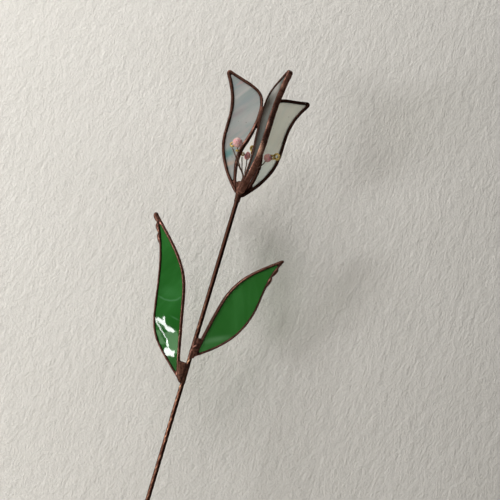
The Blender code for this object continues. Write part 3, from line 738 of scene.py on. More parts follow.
class Effects:
    """The node groups that several finishes share, each built once."""

    def __init__(self) -> None:
        """Builds the groups."""
        self.mottle = self.build_mottle()
        self.streaks = self.build_streaks()
        self.patch = self.build_patch()
        self.specks = self.build_specks()

    @staticmethod
    def build_mottle() -> bpy.types.NodeTree:
        """Uneven tone of a chemical patina, with grain and a height to go with it.

        Returns:
            The node group.
        """
        made = GroupBuilder(
            "patina_mottle",
            {"Vector": (0.0, 0.0, 0.0), "Broad Scale": 120.0, "Fine Scale": 900.0, "Contrast": 1.0},
            ("Tone", "Grain", "Height"),
        )
        graph, given = made.graph, made.inputs
        broad = graph.noise(given["Vector"], given["Broad Scale"], 4.0, 0.6, 0.4)
        fine = graph.noise(given["Vector"], given["Fine Scale"], 3.0, 0.65, 0.0)
        middle = graph.noise(given["Vector"], graph.times(given["Broad Scale"], 2.7), 3.0, 0.6, 0.8)
        sum_tone = graph.plus(graph.times(broad, 0.65), graph.times(middle, 0.35))
        centred = graph.minus(sum_tone, 0.5)
        spread = graph.times(graph.times(centred, given["Contrast"]), 3.0)
        made.give("Tone", graph.plus(spread, 0.5, clamp=True))
        made.give("Grain", graph.step(fine, 0.35, 0.65))
        height = graph.plus(graph.times(middle, 0.7), graph.times(fine, 0.3))
        made.give("Height", height)
        return made.tree

    @staticmethod
    def build_streaks() -> bpy.types.NodeTree:
        """Drawn-out streaks of streaky glass, broad and thin, and the slow waves of its surface.

        Returns:
            The node group.
        """
        made = GroupBuilder(
            "glass_streaks",
            {"Vector": (0.0, 0.0, 0.0), "Turn": (0.0, 0.0, 0.0), "Stretch": (1.0, 1.0, 0.16), "Scale": 90.0},
            ("Broad", "Thin", "Waves"),
        )
        graph, given = made.graph, made.inputs
        turned = graph.placed(given["Vector"], (0, 0, 0), given["Turn"])
        drawn = graph.placed(turned, (0, 0, 0), (0, 0, 0), given["Stretch"])
        broad = graph.noise(drawn, given["Scale"], 3.0, 0.5, 0.6)
        thin = graph.noise(drawn, graph.times(given["Scale"], 4.2), 3.0, 0.6, 0.5)
        made.give("Broad", graph.step(broad, 0.32, 0.68))
        made.give("Thin", graph.step(thin, 0.38, 0.66))
        made.give("Waves", graph.noise(given["Vector"], graph.times(given["Scale"], 0.9), 2.0, 0.45, 0.3))
        return made.tree

    @staticmethod
    def build_patch() -> bpy.types.NodeTree:
        """A soft-edged patch at one place of a pane, drawn out along one direction.

        Returns:
            The node group.
        """
        made = GroupBuilder(
            "soft_patch",
            {
                "Vector": (0.0, 0.0, 0.0),
                "Centre": (0.0, 0.0, 0.0),
                "Turn": (0.0, 0.0, 0.0),
                "Spread": (100.0, 0.0, 100.0),
                "Raggedness": 0.5,
            },
            ("Mask",),
        )
        graph, given = made.graph, made.inputs
        apart = graph.vector_maths("SUBTRACT", given["Vector"], given["Centre"])
        turned = graph.placed(apart[0], (0, 0, 0), given["Turn"])
        spread = graph.placed(turned, (0, 0, 0), (0, 0, 0), given["Spread"])
        reach = graph.vector_maths("LENGTH", spread)["Value"]
        rag = graph.minus(graph.noise(turned, 260.0, 3.0, 0.6, 0.5), 0.5)
        ragged = graph.plus(reach, graph.times(rag, given["Raggedness"]))
        made.give("Mask", graph.step(ragged, 1.0, 0.1))
        return made.tree

    @staticmethod
    def build_specks() -> bpy.types.NodeTree:
        """Small dots strewn over a surface, such as seeds in glass or grit in a patina.

        Returns:
            The node group.
        """
        made = GroupBuilder(
            "specks",
            {"Vector": (0.0, 0.0, 0.0), "Scale": 200.0, "Size": 0.12, "Share": 0.2},
            ("Mask",),
        )
        graph, given = made.graph, made.inputs
        cells = graph.add("ShaderNodeTexVoronoi", feature="F1")
        graph.feed(cells.inputs["Vector"], given["Vector"])
        graph.feed(cells.inputs["Scale"], given["Scale"])
        split = graph.add("ShaderNodeSeparateColor")
        graph.feed(split.inputs[0], cells.outputs["Color"])
        chosen = graph.maths("LESS_THAN", split.outputs[0], given["Share"])
        near = graph.minus(1.0, graph.maths("DIVIDE", cells.outputs["Distance"], given["Size"]), clamp=True)
        made.give("Mask", graph.times(chosen, graph.step(near, 0.0, 0.7)))
        return made.tree


def new_material(name: str) -> tuple[bpy.types.Material, Graph, bpy.types.Node, Socket]:
    """Starts a material.

    Args:
        name: The material's name.

    Returns:
        The material, its graph, its Principled BSDF and its object coordinates.
    """
    made = bpy.data.materials.new(name)
    made.use_nodes = True
    graph = Graph(made.node_tree)
    shader = made.node_tree.nodes["Principled BSDF"]
    where = graph.add("ShaderNodeTexCoord").outputs["Object"]
    return made, graph, shader, where


def tint_shadow(graph: Graph, shader: bpy.types.Node, tint: Colour, share: float) -> None:
    """Lets part of the light through a pane on its way to what lies behind, so that its shadow is coloured.

    Args:
        graph: Graph of the pane's material.
        shader: Its Principled BSDF.
        tint: Colour of the light that gets through.
        share: How much of the pane lets it through.
    """
    clear = graph.add("ShaderNodeBsdfTransparent")
    clear.inputs["Color"].default_value = (*tint, 1.0)
    shadow = graph.add("ShaderNodeLightPath").outputs["Is Shadow Ray"]
    graph.surface(graph.times(shadow, share), shader.outputs[0], clear.outputs[0])


@dataclass(frozen=True)
class PatinaSolder:
    """Patinated solder: rose-brown, bright where worn, with painted highlights and near-black painted shade
    by the glass.
    """

    name: str = "copper_patina"
    dark: Colour = (0.050, 0.021, 0.014)
    brown: Colour = (0.230, 0.108, 0.080)
    bright: Colour = (0.86, 0.49, 0.34)
    painted_shade: Colour = (0.008, 0.005, 0.004)
    pit: Colour = (0.012, 0.007, 0.005)
    web: Colour = (0.078, 0.034, 0.020)
    edge: Colour = (0.15, 0.10, 0.085)
    metallic: float = 0.85
    # Painted highlights: centre and half size in millimetres, and strength.
    painted_highlights: tuple[tuple[Triple, Triple, float], ...] = (
        ((5.2, -21.3, 338.2), (3.2, 3.2, 8.5), 1.0),
        ((7.9, -29.8, 383.5), (2.2, 2.2, 5.0), 0.2),
        ((5.7, -23.1, 355.9), (2.0, 2.0, 4.0), 0.35),
        ((-1.3, -2.2, 372.7), (2.0, 2.0, 2.4), 0.3),
        ((42.0, 10.0, 251.0), (2.0, 2.0, 2.0), 0.45),
        ((-51.2, 11.4, 261.9), (2.0, 2.0, 2.0), 0.5),
    )

    def build(self, effects: Effects) -> bpy.types.Material:
        """Builds the material.

        Args:
            effects: The shared node groups.

        Returns:
            The material.
        """
        made, graph, shader, where = new_material(self.name)
        mottle = graph.group(effects.mottle, Vector=where, Broad_Scale=170.0, Fine_Scale=1300.0, Contrast=1.0)
        grit = graph.group(effects.specks, Vector=where, Scale=900.0, Size=0.35, Share=0.12)
        dapple = graph.noise(where, 850.0, 2.0, 0.6)
        lip = graph.kept("lip")
        worn = graph.kept("worn")
        pooled = graph.kept("pooled")
        colour = graph.mix(mottle.outputs["Tone"], self.dark, self.brown)
        # Real wear on the bulges, joined below by painted highlights at set places.
        wear_and_highlight = graph.times(graph.step(worn, 0.5, 1.1), graph.step(mottle.outputs["Tone"], 0.35, 0.8))
        for centre, half, strength in self.painted_highlights:
            mask = graph.group(
                effects.patch,
                Vector=where,
                Centre=tuple(part * MM for part in centre),
                Spread=tuple(1.0 / (part * MM) for part in half),
                Raggedness=0.4,
            )
            wear_and_highlight = graph.maths("MAXIMUM", wear_and_highlight, graph.times(mask.outputs["Mask"], strength))
        colour = graph.mix(graph.times(wear_and_highlight, 0.85), colour, self.bright)
        colour = graph.mix(graph.times(grit.outputs["Mask"], 0.6), colour, self.dark)
        puddle = graph.mix(graph.step(dapple, 0.40, 0.60), self.pit, self.web)
        colour = graph.mix(graph.times(pooled, 0.85), colour, puddle)
        # Painted shade: near-black on the beads by the stem and on beads that the other petals shade.
        tarnish_and_shade = graph.kept("tarnish_and_shade")
        colour = graph.mix(tarnish_and_shade, colour, self.dark)
        # Painted shade: a near-black line along the crease where the bead meets the glass.
        colour = graph.mix(graph.times(lip, 0.95), colour, self.painted_shade)
        graph.feed(shader.inputs["Base Color"], colour)
        # Worn places and painted highlights are less metallic.
        dull = graph.maths("MAXIMUM", graph.times(wear_and_highlight, 0.5), graph.times(pooled, 0.15))
        graph.feed(shader.inputs["Metallic"], graph.minus(self.metallic, dull))
        shader.inputs["Specular Tint"].default_value = (*self.edge, 1.0)
        rough = graph.step(mottle.outputs["Tone"], 0.1, 0.9, 0.40, 0.24)
        rough = graph.plus(rough, graph.times(pooled, 0.18))
        graph.feed(shader.inputs["Roughness"], graph.minus(rough, graph.times(wear_and_highlight, 0.08)))
        height = graph.plus(mottle.outputs["Height"], graph.times(dapple, pooled))
        graph.feed(shader.inputs["Normal"], graph.bump(height, 0.45, 0.0004))
        return made


@dataclass(frozen=True)
class TwistedCopper:
    """The rod's coppered surface: slanting streaks of painted highlight and shade in its lower part, smoother
    and browner higher up, with painted shade on its right side.
    """

    name: str = "coppered_rod"
    dark: Colour = (0.050, 0.020, 0.013)
    brown: Colour = (0.270, 0.118, 0.078)
    bright: Colour = (0.84, 0.50, 0.28)
    painted_shade: Colour = (0.010, 0.004, 0.003)
    # Painted shade: its span across the right side and along the far left edge, in millimetres.
    shaded_band: Pair = (-0.35, 0.65)
    shaded_flank: Pair = (-0.95, -1.5)
    edge: Colour = (0.20, 0.13, 0.10)
    pitch: float = 22.0 * MM
    starts: float = 4.0
    metallic: float = 0.9
    # Painted highlights: heights and half widths of bright bands, in millimetres.
    painted_highlights: tuple[Pair, ...] = ((177.3, 1.6), (157.6, 0.9))
    smooth_from: float = 0.195
    smooth_to: float = 0.245

    def build(self, effects: Effects) -> bpy.types.Material:
        """Builds the material.

        Args:
            effects: The shared node groups.

        Returns:
            The material.
        """
        made, graph, shader, where = new_material(self.name)
        axes = graph.axes(where)
        angle = graph.maths("ARCTAN2", axes["Y"], axes["X"])
        climb = graph.times(axes["Z"], 2 * math.pi * self.starts / self.pitch)
        wobble = graph.times(graph.noise(where, 330.0, 2.0, 0.5), 6.0)
        phase = graph.minus(graph.times(angle, self.starts), climb)
        wave = graph.maths("SINE", graph.plus(phase, wobble), 0.0)
        streak = graph.step(wave, -0.6, 0.6)
        upper = graph.step(axes["Z"], self.smooth_from, self.smooth_to)
        mottle = graph.group(effects.mottle, Vector=where, Broad_Scale=300.0, Fine_Scale=1700.0, Contrast=1.0)
        # Painted highlight and shade of the twist: the colour is lighter and darker along the streaks.
        ridged = graph.plus(graph.times(streak, 0.5), 0.5)
        tone = graph.times(mottle.outputs["Tone"], ridged)
        calm = graph.plus(graph.times(mottle.outputs["Tone"], 0.35), 0.3)
        tone = graph.mix(upper, tone, calm)
        colour = graph.mix(tone, self.dark, self.brown)
        # Painted highlights on the streaks and, below, in bands at set heights.
        glint = graph.times(graph.step(streak, 0.5, 1.0), graph.step(mottle.outputs["Tone"], 0.35, 0.8))
        lower = graph.minus(1.0, graph.times(upper, 0.9))
        glint = graph.times(glint, graph.times(lower, 0.16))
        for height, half in self.painted_highlights:
            apart = graph.maths("ABSOLUTE", graph.minus(axes["Z"], height * MM))
            near = graph.step(apart, half * 1.3 * MM, half * 0.3 * MM)
            highlight_band = graph.times(near, graph.step(wave, -0.3, 0.9))
            glint = graph.maths("MAXIMUM", glint, highlight_band)
        colour = graph.mix(glint, colour, self.bright)
        # Painted shade down the rod's right side and along its far left edge.
        side = graph.step(axes["X"], self.shaded_band[0] * MM, self.shaded_band[1] * MM)
        shaded_flank = graph.step(axes["X"], self.shaded_flank[0] * MM, self.shaded_flank[1] * MM)
        side = graph.maths("MAXIMUM", side, graph.times(shaded_flank, 0.85))
        colour = graph.mix(graph.times(side, 0.9), colour, self.painted_shade)
        graph.feed(shader.inputs["Base Color"], colour)
        graph.feed(shader.inputs["Metallic"], graph.minus(self.metallic, graph.times(glint, 0.4)))
        shader.inputs["Specular Tint"].default_value = (*self.edge, 1.0)
        graph.feed(shader.inputs["Roughness"], graph.step(tone, 0.0, 1.0, 0.42, 0.28))
        ridges = graph.times(streak, graph.minus(1.0, upper))
        rise = graph.times(graph.plus(ridges, mottle.outputs["Height"]), 0.4)
        graph.feed(shader.inputs["Normal"], graph.bump(rise, 0.5, 0.0003))
        return made


@dataclass(frozen=True)
class Patch:
    """A coloured patch in a pane, placed by reach and by height above the flower's zero, in millimetres;
    besides the glass's own colour, some are painted shade, painted light and painted reflections.
    """

    centre: Pair
    half: Pair
    lean: float
    colour: Colour
    strength: float


@dataclass(frozen=True)
class PaneGlass:
    """What the glass of every pane has: its name, the direction of its pane and ways to colour it."""

    name: str
    azimuth: float

    def coordinates(self, graph: Graph, where: Socket) -> Socket:
        """Coordinates in the pane's frame: reach along X, height above the flower's zero along Z."""
        zero = graph.placed(where, (0.0, 0.0, -FLOWER_HEIGHT * MM))
        return graph.placed(zero, (0, 0, 0), (0.0, 0.0, -math.radians(self.azimuth)))

    @staticmethod
    def patched(
        graph: Graph,
        effects: Effects,
        pane: Socket,
        colour: Socket,
        patches: tuple[Patch, ...],
        ragged: float,
    ) -> Socket:
        """Lays patches over a colour.

        Args:
            graph: Graph of the glass.
            effects: The shared node groups.
            pane: Coordinates of the pane's own frame.
            colour: The colour under the patches.
            patches: The patches, the last one on top.
            ragged: How uneven their edges are.

        Returns:
            The colour with its patches.
        """
        for patch in patches:
            mask = graph.group(
                effects.patch,
                Vector=pane,
                Centre=(patch.centre[0] * MM, 0.0, patch.centre[1] * MM),
                Turn=(0.0, math.radians(patch.lean), 0.0),
                Spread=(1.0 / (patch.half[0] * MM), 0.0, 1.0 / (patch.half[1] * MM)),
                Raggedness=ragged,
            )
            colour = graph.mix(graph.times(mask.outputs["Mask"], patch.strength), colour, patch.colour)
        return colour


@dataclass(frozen=True)
class StreakyGlass(PaneGlass):
    """Pale opalescent glass with drawn-out streaks, patches of colour, painted shade and light, and a few
    seeds.
    """

    pale: Colour
    cool: Colour
    warm: Colour
    low: Colour
    low_height: Pair
    lean: float
    patches: tuple[Patch, ...] = ()
    transmission: float = 0.4
    roughness: float = 0.42
    gloss: float = 0.5

    def build(self, effects: Effects) -> bpy.types.Material:
        """Builds the material.

        Args:
            effects: The shared node groups.

        Returns:
            The material.
        """
        made, graph, shader, where = new_material(self.name)
        pane = self.coordinates(graph, where)
        lean = (0.0, math.radians(self.lean), 0.0)
        streaks = graph.group(effects.streaks, Vector=pane, Turn=lean, Stretch=(1.0, 1.0, 0.14), Scale=110.0)
        low, high = self.low_height
        upper = graph.step(graph.axes(pane)["Z"], low * MM, high * MM)
        colour = graph.mix(streaks.outputs["Broad"], self.cool, self.pale)
        colour = graph.mix(graph.times(streaks.outputs["Thin"], 0.55), colour, self.warm)
        # The low colour darkens the front pane as painted shade and lightens the right pane as painted light.
        colour = graph.mix(upper, self.low, colour)
        colour = self.patched(graph, effects, pane, colour, self.patches, 0.9)
        seeds = graph.group(effects.specks, Vector=pane, Scale=190.0, Size=0.075, Share=0.07)
        colour = graph.mix(graph.times(seeds.outputs["Mask"], 0.75), colour, (0.09, 0.06, 0.05))
        graph.feed(shader.inputs["Base Color"], colour)
        shader.inputs["Metallic"].default_value = 0.0
        shader.inputs["Transmission Weight"].default_value = self.transmission
        shader.inputs["IOR"].default_value = 1.5
        shader.inputs["Specular IOR Level"].default_value = self.gloss
        low, high = self.roughness - 0.05, self.roughness + 0.08
        graph.feed(shader.inputs["Roughness"], graph.step(streaks.outputs["Waves"], 0.2, 0.8, low, high))
        graph.feed(shader.inputs["Normal"], graph.bump(streaks.outputs["Waves"], 0.1, 0.0006))
        tint_shadow(graph, shader, (0.86, 0.87, 0.83), 0.9)
        return made


@dataclass(frozen=True)
class GreenGlass(PaneGlass):
    """Glossy, nearly opaque green glass with faint streaks and slow waves in its surface."""

    deep: Colour = (0.013, 0.098, 0.012)
    lighter: Colour = (0.024, 0.138, 0.024)
    pale: Colour = (0.10, 0.26, 0.11)
    patches: tuple[Patch, ...] = ()
    wave_depth: float = 0.0005

    def build(self, effects: Effects) -> bpy.types.Material:
        """Builds the material.

        Args:
            effects: The shared node groups.

        Returns:
            The material.
        """
        made, graph, shader, where = new_material(self.name)
        pane = self.coordinates(graph, where)
        turn = (0.0, 0.35, 0.0)
        streaks = graph.group(effects.streaks, Vector=pane, Turn=turn, Stretch=(1.0, 1.0, 0.3), Scale=60.0)
        colour = graph.mix(streaks.outputs["Broad"], self.deep, self.lighter)
        colour = graph.mix(graph.times(streaks.outputs["Thin"], 0.22), colour, self.deep)
        colour = self.patched(graph, effects, pane, colour, self.patches, 0.3)
        seeds = graph.group(effects.specks, Vector=pane, Scale=230.0, Size=0.06, Share=0.08)
        colour = graph.mix(graph.times(seeds.outputs["Mask"], 0.5), colour, self.pale)
        graph.feed(shader.inputs["Base Color"], colour)
        shader.inputs["Metallic"].default_value = 0.0
        shader.inputs["IOR"].default_value = 1.5
        graph.feed(shader.inputs["Roughness"], graph.step(streaks.outputs["Waves"], 0.2, 0.8, 0.012, 0.03))
        graph.feed(shader.inputs["Normal"], graph.bump(streaks.outputs["Waves"], 0.12, self.wave_depth))
        tint_shadow(graph, shader, (0.28, 0.62, 0.28), 0.6)
        return made


@dataclass(frozen=True)
class PinkStone:
    """A tumbled chip of pink quartz: milky, with paler clouds and darker veins."""

    name: str
    pale: Colour
    deep: Colour
    seed: float = 0.0

    def build(self, effects: Effects) -> bpy.types.Material:
        """Builds the material.

        Args:
            effects: The shared node groups.

        Returns:
            The material.
        """
        made, graph, shader, where = new_material(self.name)
        moved = graph.placed(where, (self.seed, 0.0, 0.0))
        mottle = graph.group(effects.mottle, Vector=moved, Broad_Scale=230.0, Fine_Scale=1800.0, Contrast=1.1)
        veins = graph.noise(moved, 420.0, 2.0, 0.5, 2.2)
        apart = graph.maths("ABSOLUTE", graph.minus(veins, 0.5))
        thin = graph.minus(1.0, graph.step(apart, 0.0, 0.05))
        colour = graph.mix(mottle.outputs["Tone"], self.deep, self.pale)
        colour = graph.mix(graph.times(thin, 0.3), colour, self.deep)
        graph.feed(shader.inputs["Base Color"], colour)
        shader.inputs["Subsurface Weight"].default_value = 0.6
        shader.inputs["Subsurface Scale"].default_value = 0.0022
        graph.feed(shader.inputs["Roughness"], graph.step(mottle.outputs["Grain"], 0.0, 1.0, 0.34, 0.5))
        graph.feed(shader.inputs["Normal"], graph.bump(mottle.outputs["Height"], 0.3, 0.0004))
        return made


@dataclass(frozen=True)
class DrawnWire:
    """Drawn wire, brown for the stamens or gold-coloured for the rings, with a darker patina in the hollows.
    """

    name: str
    bright: Colour
    # Colour of the wire's own tarnish.
    tarnish_and_shade: Colour
    metallic: float = 0.85
    roughness: float = 0.34

    def build(self, effects: Effects) -> bpy.types.Material:
        """Builds the material.

        Args:
            effects: The shared node groups.

        Returns:
            The material.
        """
        made, graph, shader, where = new_material(self.name)
        mottle = graph.group(effects.mottle, Vector=where, Broad_Scale=520.0, Fine_Scale=2600.0, Contrast=1.2)
        colour = graph.mix(mottle.outputs["Tone"], self.tarnish_and_shade, self.bright)
        graph.feed(shader.inputs["Base Color"], colour)
        shader.inputs["Metallic"].default_value = self.metallic
        dull = self.roughness + 0.14
        rough = graph.step(mottle.outputs["Tone"], 0.0, 1.0, dull, self.roughness)
        graph.feed(shader.inputs["Roughness"], rough)
        graph.feed(shader.inputs["Normal"], graph.bump(mottle.outputs["Height"], 0.25, 0.0002))
        return made


# Metal work


@dataclass(frozen=True)
class BeadSection:
    """Section of the rounded solder bead that runs round a pane, in millimetres."""

    half_foot: float
    half_tip: float
    lip_foot: float
    lip_tip: float
    wall: float = 1.0
    rounding: float = 1.2
    lip_height: float = 1.8
    inner_growth: float = 0.0
    growth_span: Pair = (12.0, 56.0)
    drop_proud: float = 1.5
    drop_face_proud: float = 0.35
    turns: tuple[int, ...] = (0, 18, 36, 54, 72, 90)

    def rings(self, outline: Outline) -> list[tuple[np.ndarray, np.ndarray]]:
        """Works out the bead's loops on one face of the pane.

        Args:
            outline: The pane's outline.

        Returns:
            The loops from the rim in to the lip's edge, each with its height above the pane's middle.
        """
        swell = outline.swell()
        growth = self.growth(outline)
        loops = []
        for angle in self.turns:
            turn = math.radians(angle)
            edge = outline.ring(self.rounding * (1 - math.cos(turn)))
            half = self.half_foot + (self.half_tip - self.half_foot) * outline.share(edge[:, 1])
            along = unit(np.roll(edge, -1, axis=0) - np.roll(edge, 1, axis=0))
            outwards = np.stack([along[:, 1], -along[:, 0]], axis=1)
            edge = edge + outwards * ((swell * self.drop_proud + growth) * math.cos(turn))[:, None]
            loops.append((edge, (half + swell * self.drop_face_proud) * math.sin(turn)))
        window = outline.ring(self.wall + self.lip_foot, self.wall + self.lip_tip)
        loops.append((window, np.full(len(window), self.lip_height)))
        return loops

    def growth(self, outline: Outline) -> np.ndarray:
        """How much thicker the bead is along part of the inner side, in millimetres.

        Args:
            outline: The pane's outline.

        Returns:
            One value for each point of its ring.
        """
        rim = outline.ring(0.0)
        low, high = self.growth_span
        run = np.clip((rim[:, 1] - low) / (high - low), 0.0, 1.0)
        amount = self.inner_growth * np.sin(math.pi * run) ** 0.7
        amount[: outline.counts()[0] + outline.corner_points] = 0.0
        return amount

    def solid(self, outline: Outline) -> tuple[np.ndarray, Faces]:
        """Points and faces of the closed bead in the pane's own frame, with the glass's space filled in.

        Args:
            outline: The pane's outline.

        Returns:
            The points, in millimetres, and the faces.
        """
        loops = self.rings(outline)
        top = [np.stack([edge[:, 0], half, edge[:, 1]], axis=1) for edge, half in loops]
        low = [np.stack([edge[:, 0], -half, edge[:, 1]], axis=1) for edge, half in reversed(loops[1:])]
        rings = top + low
        return np.vstack(rings), loft_faces(len(rings), len(rings[0]), True)


def pane_to_world(points: np.ndarray, azimuth: float, height: float) -> np.ndarray:
    """Turns points of a pane's own frame about the stem and lifts them.

    Args:
        points: The points, in millimetres.
        azimuth: Direction of the pane, in degrees.
        height: How far they are lifted, in millimetres.

    Returns:
        The points, in millimetres from the stem's lower end.
    """
    cos, sin = math.cos(math.radians(azimuth)), math.sin(math.radians(azimuth))
    turn = np.array([[cos, sin, 0.0], [-sin, cos, 0.0], [0.0, 0.0, 1.0]])
    return points @ turn + np.array([0.0, 0.0, height])


@dataclass
class FramedPane:
    """One glass pane in its bead: where it stands, how its bead is made and where its bead gets painted
    shade.
    """

    outline: Outline
    section: BeadSection
    azimuth: float
    height: float = FLOWER_HEIGHT
    tarnish_and_shade: float = 0.0
    shade_reach: float = 99.0
    shade_from: float = -99.0
    lip_side: float = 1.45

    def bead(self) -> tuple[np.ndarray, Faces]:
        """Points and faces of the bead, in millimetres from the stem's lower end."""
        points, faces = self.section.solid(self.outline)
        return pane_to_world(points, self.azimuth, self.height), faces

    def painted_shade_points(self) -> np.ndarray:
        """Points of the bead where the patina is nearly black.

        Returns:
            Points of the bead that get near-black painted shade.
        """
        points, _ = self.bead()
        near = np.hypot(points[:, 0], points[:, 1]) < self.shade_reach
        return points[near & (points[:, 2] > self.height + self.shade_from)]

    def lip_line(self) -> np.ndarray:
        """Points along both edges of the bead's lips, where it meets the glass.

        Returns:
            The points, in millimetres from the stem's lower end.
        """
        window, _ = self.section.rings(self.outline)[-1]
        sides = (-self.lip_side, self.lip_side)
        faces = [np.stack([window[:, 0], np.full(len(window), side), window[:, 1]], axis=1) for side in sides]
        return pane_to_world(np.vstack(faces), self.azimuth, self.height)


@dataclass
class SolderWork:
    """Solder that has run together: the beads of some panes and the lumps that join them, as one skin."""

    name: str
    panes: list[FramedPane]
    lumps: tuple[str, ...]
    beads_of: tuple[str, ...]
    voxel: float = 0.36
    smoothing: int = 3
    lump_grow: float = 0.2
    wobble: float = 0.14
    wobble_size: float = 4.5
    shade_width: float = 0.75
    pool_width: float = 1.2
    pool_depth: float = 1.0
    sleeve: float = 0.0
    sleeve_reach: float = 2.75
    bore_reach: float = 1.8
    core: float = 0.4
    long_edge: float = 1.2
    cuts: int = 3
    kept_share: float = 0.4
    wear_rounds: int = 6

    def build(self) -> bpy.types.Object:
        """Builds the skin and returns its object.

        Returns:
            The skin's object.
        """
        points, faces = [], []
        for pane in self.panes:
            self.add_solid(points, faces, *pane.bead())
        pools = [self.grown_copy(node) for node in self.lumps]
        for pool in pools:
            self.add_solid(points, faces, *pool)
        raw = new_mesh(f"{self.name}_raw", np.vstack(points), faces)
        rough = new_object(f"{self.name}_raw", raw)
        remesh = rough.modifiers.new("remesh", "REMESH")
        remesh.mode = "VOXEL"
        remesh.voxel_size = self.voxel
        evaluated = rough.evaluated_get(bpy.context.evaluated_depsgraph_get())
        mesh = bpy.data.meshes.new_from_object(evaluated)
        mesh.name = self.name
        bpy.data.objects.remove(rough, do_unlink=True)
        bpy.data.meshes.remove(raw)
        self.finish(mesh, np.vstack([pool[0] for pool in pools]))
        return new_object(self.name, mesh)

    @staticmethod
    def add_solid(points: list[np.ndarray], faces: Faces, more: np.ndarray, joined: Faces) -> None:
        """Adds a solid's points and faces to the lists.

        Args:
            points: List that gets the solid's points.
            faces: List that gets its faces.
            more: The solid's points.
            joined: The solid's faces.
        """
        start = sum(len(part) for part in points)
        points.append(more)
        faces.extend(tuple(start + k for k in face) for face in joined)

    def grown_copy(self, node: str) -> tuple[np.ndarray, Faces]:
        """Copies a CAD node, grown so that it meets its neighbours.

        Args:
            node: The node's name.

        Returns:
            Its points, in millimetres, and its faces.
        """
        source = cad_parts[node].data
        welded = bmesh.new()
        welded.from_mesh(source)
        bmesh.ops.remove_doubles(welded, verts=welded.verts, dist=1e-6)
        long_edges = [edge for edge in welded.edges if edge.calc_length() > self.long_edge * MM]
        bmesh.ops.subdivide_edges(welded, edges=long_edges, cuts=self.cuts, use_grid_fill=True)
        welded.normal_update()
        points = np.array([(vert.co + vert.normal * self.lump_grow * MM) / MM for vert in welded.verts])
        faces = [tuple(vert.index for vert in face.verts) for face in welded.faces]
        welded.free()
        return self.close_sleeve(points), faces

    def close_sleeve(self, points: np.ndarray) -> np.ndarray:
        """Draws a joint's sleeve tight round the rod and fills its bore, because real solder wets the rod.

        Args:
            points: Points of the joint, in millimetres.

        Returns:
            The points drawn in, or as they were if the work has no sleeve.
        """
        reach = np.hypot(points[:, 0], points[:, 1])
        drawn = np.where(reach < self.sleeve_reach, np.minimum(reach, self.sleeve), reach)
        wanted = np.where(reach < self.bore_reach, self.core, drawn)
        share = wanted / np.maximum(reach, 0.01) if self.sleeve else np.ones(len(points))
        return points * np.stack([share, share, np.ones(len(points))], axis=1)

    def finish(self, mesh: bpy.types.Mesh, pooled: np.ndarray) -> None:
        """Smooths the skin, gives it a hand-run unevenness and stores its wear, pools and painted shade.

        Args:
            mesh: The skin, in millimetres, which ends up in metres.
            pooled: Points of the lumps, where solder pooled.
        """
        places = vertex_array(mesh)
        for _ in range(self.smoothing):
            places = places * self.kept_share + neighbours_mean(mesh, places) * (1.0 - self.kept_share)
        put_vertices(mesh, places)
        normals = normal_array(mesh)
        spots = [Vector(place) / self.wobble_size for place in places]
        lumps = np.array([noise.noise(spot) + 0.45 * noise.noise(spot * 2.7) for spot in spots])
        places = places + normals * ((lumps - 0.7) * self.wobble)[:, None]
        put_vertices(mesh, places)
        softened = places
        for _ in range(self.wear_rounds):
            softened = neighbours_mean(mesh, softened)
        bulge = np.einsum("ij,ij->i", places - softened, normals)
        store(mesh, "worn", (bulge - 0.05) / 0.25)
        # Painted shade: near-black along the lips, in the crease where the bead meets the glass.
        line = np.vstack([pane.lip_line() for pane in self.panes])
        store(mesh, "lip", 1.0 - (distances(places, line) - 0.25) / self.shade_width)
        pool = np.clip(1.0 - (distances(places, pooled) - 0.4) / self.pool_width, 0.0, 1.0)
        store(mesh, "pooled", pool * self.pool_depth)
        # Painted shade: near-black on beads by the stem and in the other petals' shadow.
        tarnish_and_shade = np.zeros(len(places))
        for pane in self.panes:
            if pane.tarnish_and_shade:
                apart = distances(places, pane.painted_shade_points())
                tarnish_and_shade = np.maximum(tarnish_and_shade, pane.tarnish_and_shade * np.clip(1.4 - apart / 1.2, 0.0, 1.0))
        store(mesh, "tarnish_and_shade", tarnish_and_shade)
        mesh.transform(Matrix.Scale(MM, 4))
        mesh.shade_smooth()

    def dress(self, material: bpy.types.Material) -> bpy.types.Object:
        """Builds the skin, dresses it and lets it stand for its CAD nodes."""
        return hand_over(self.build(), material, "copper_patina", *self.beads_of, *self.lumps)


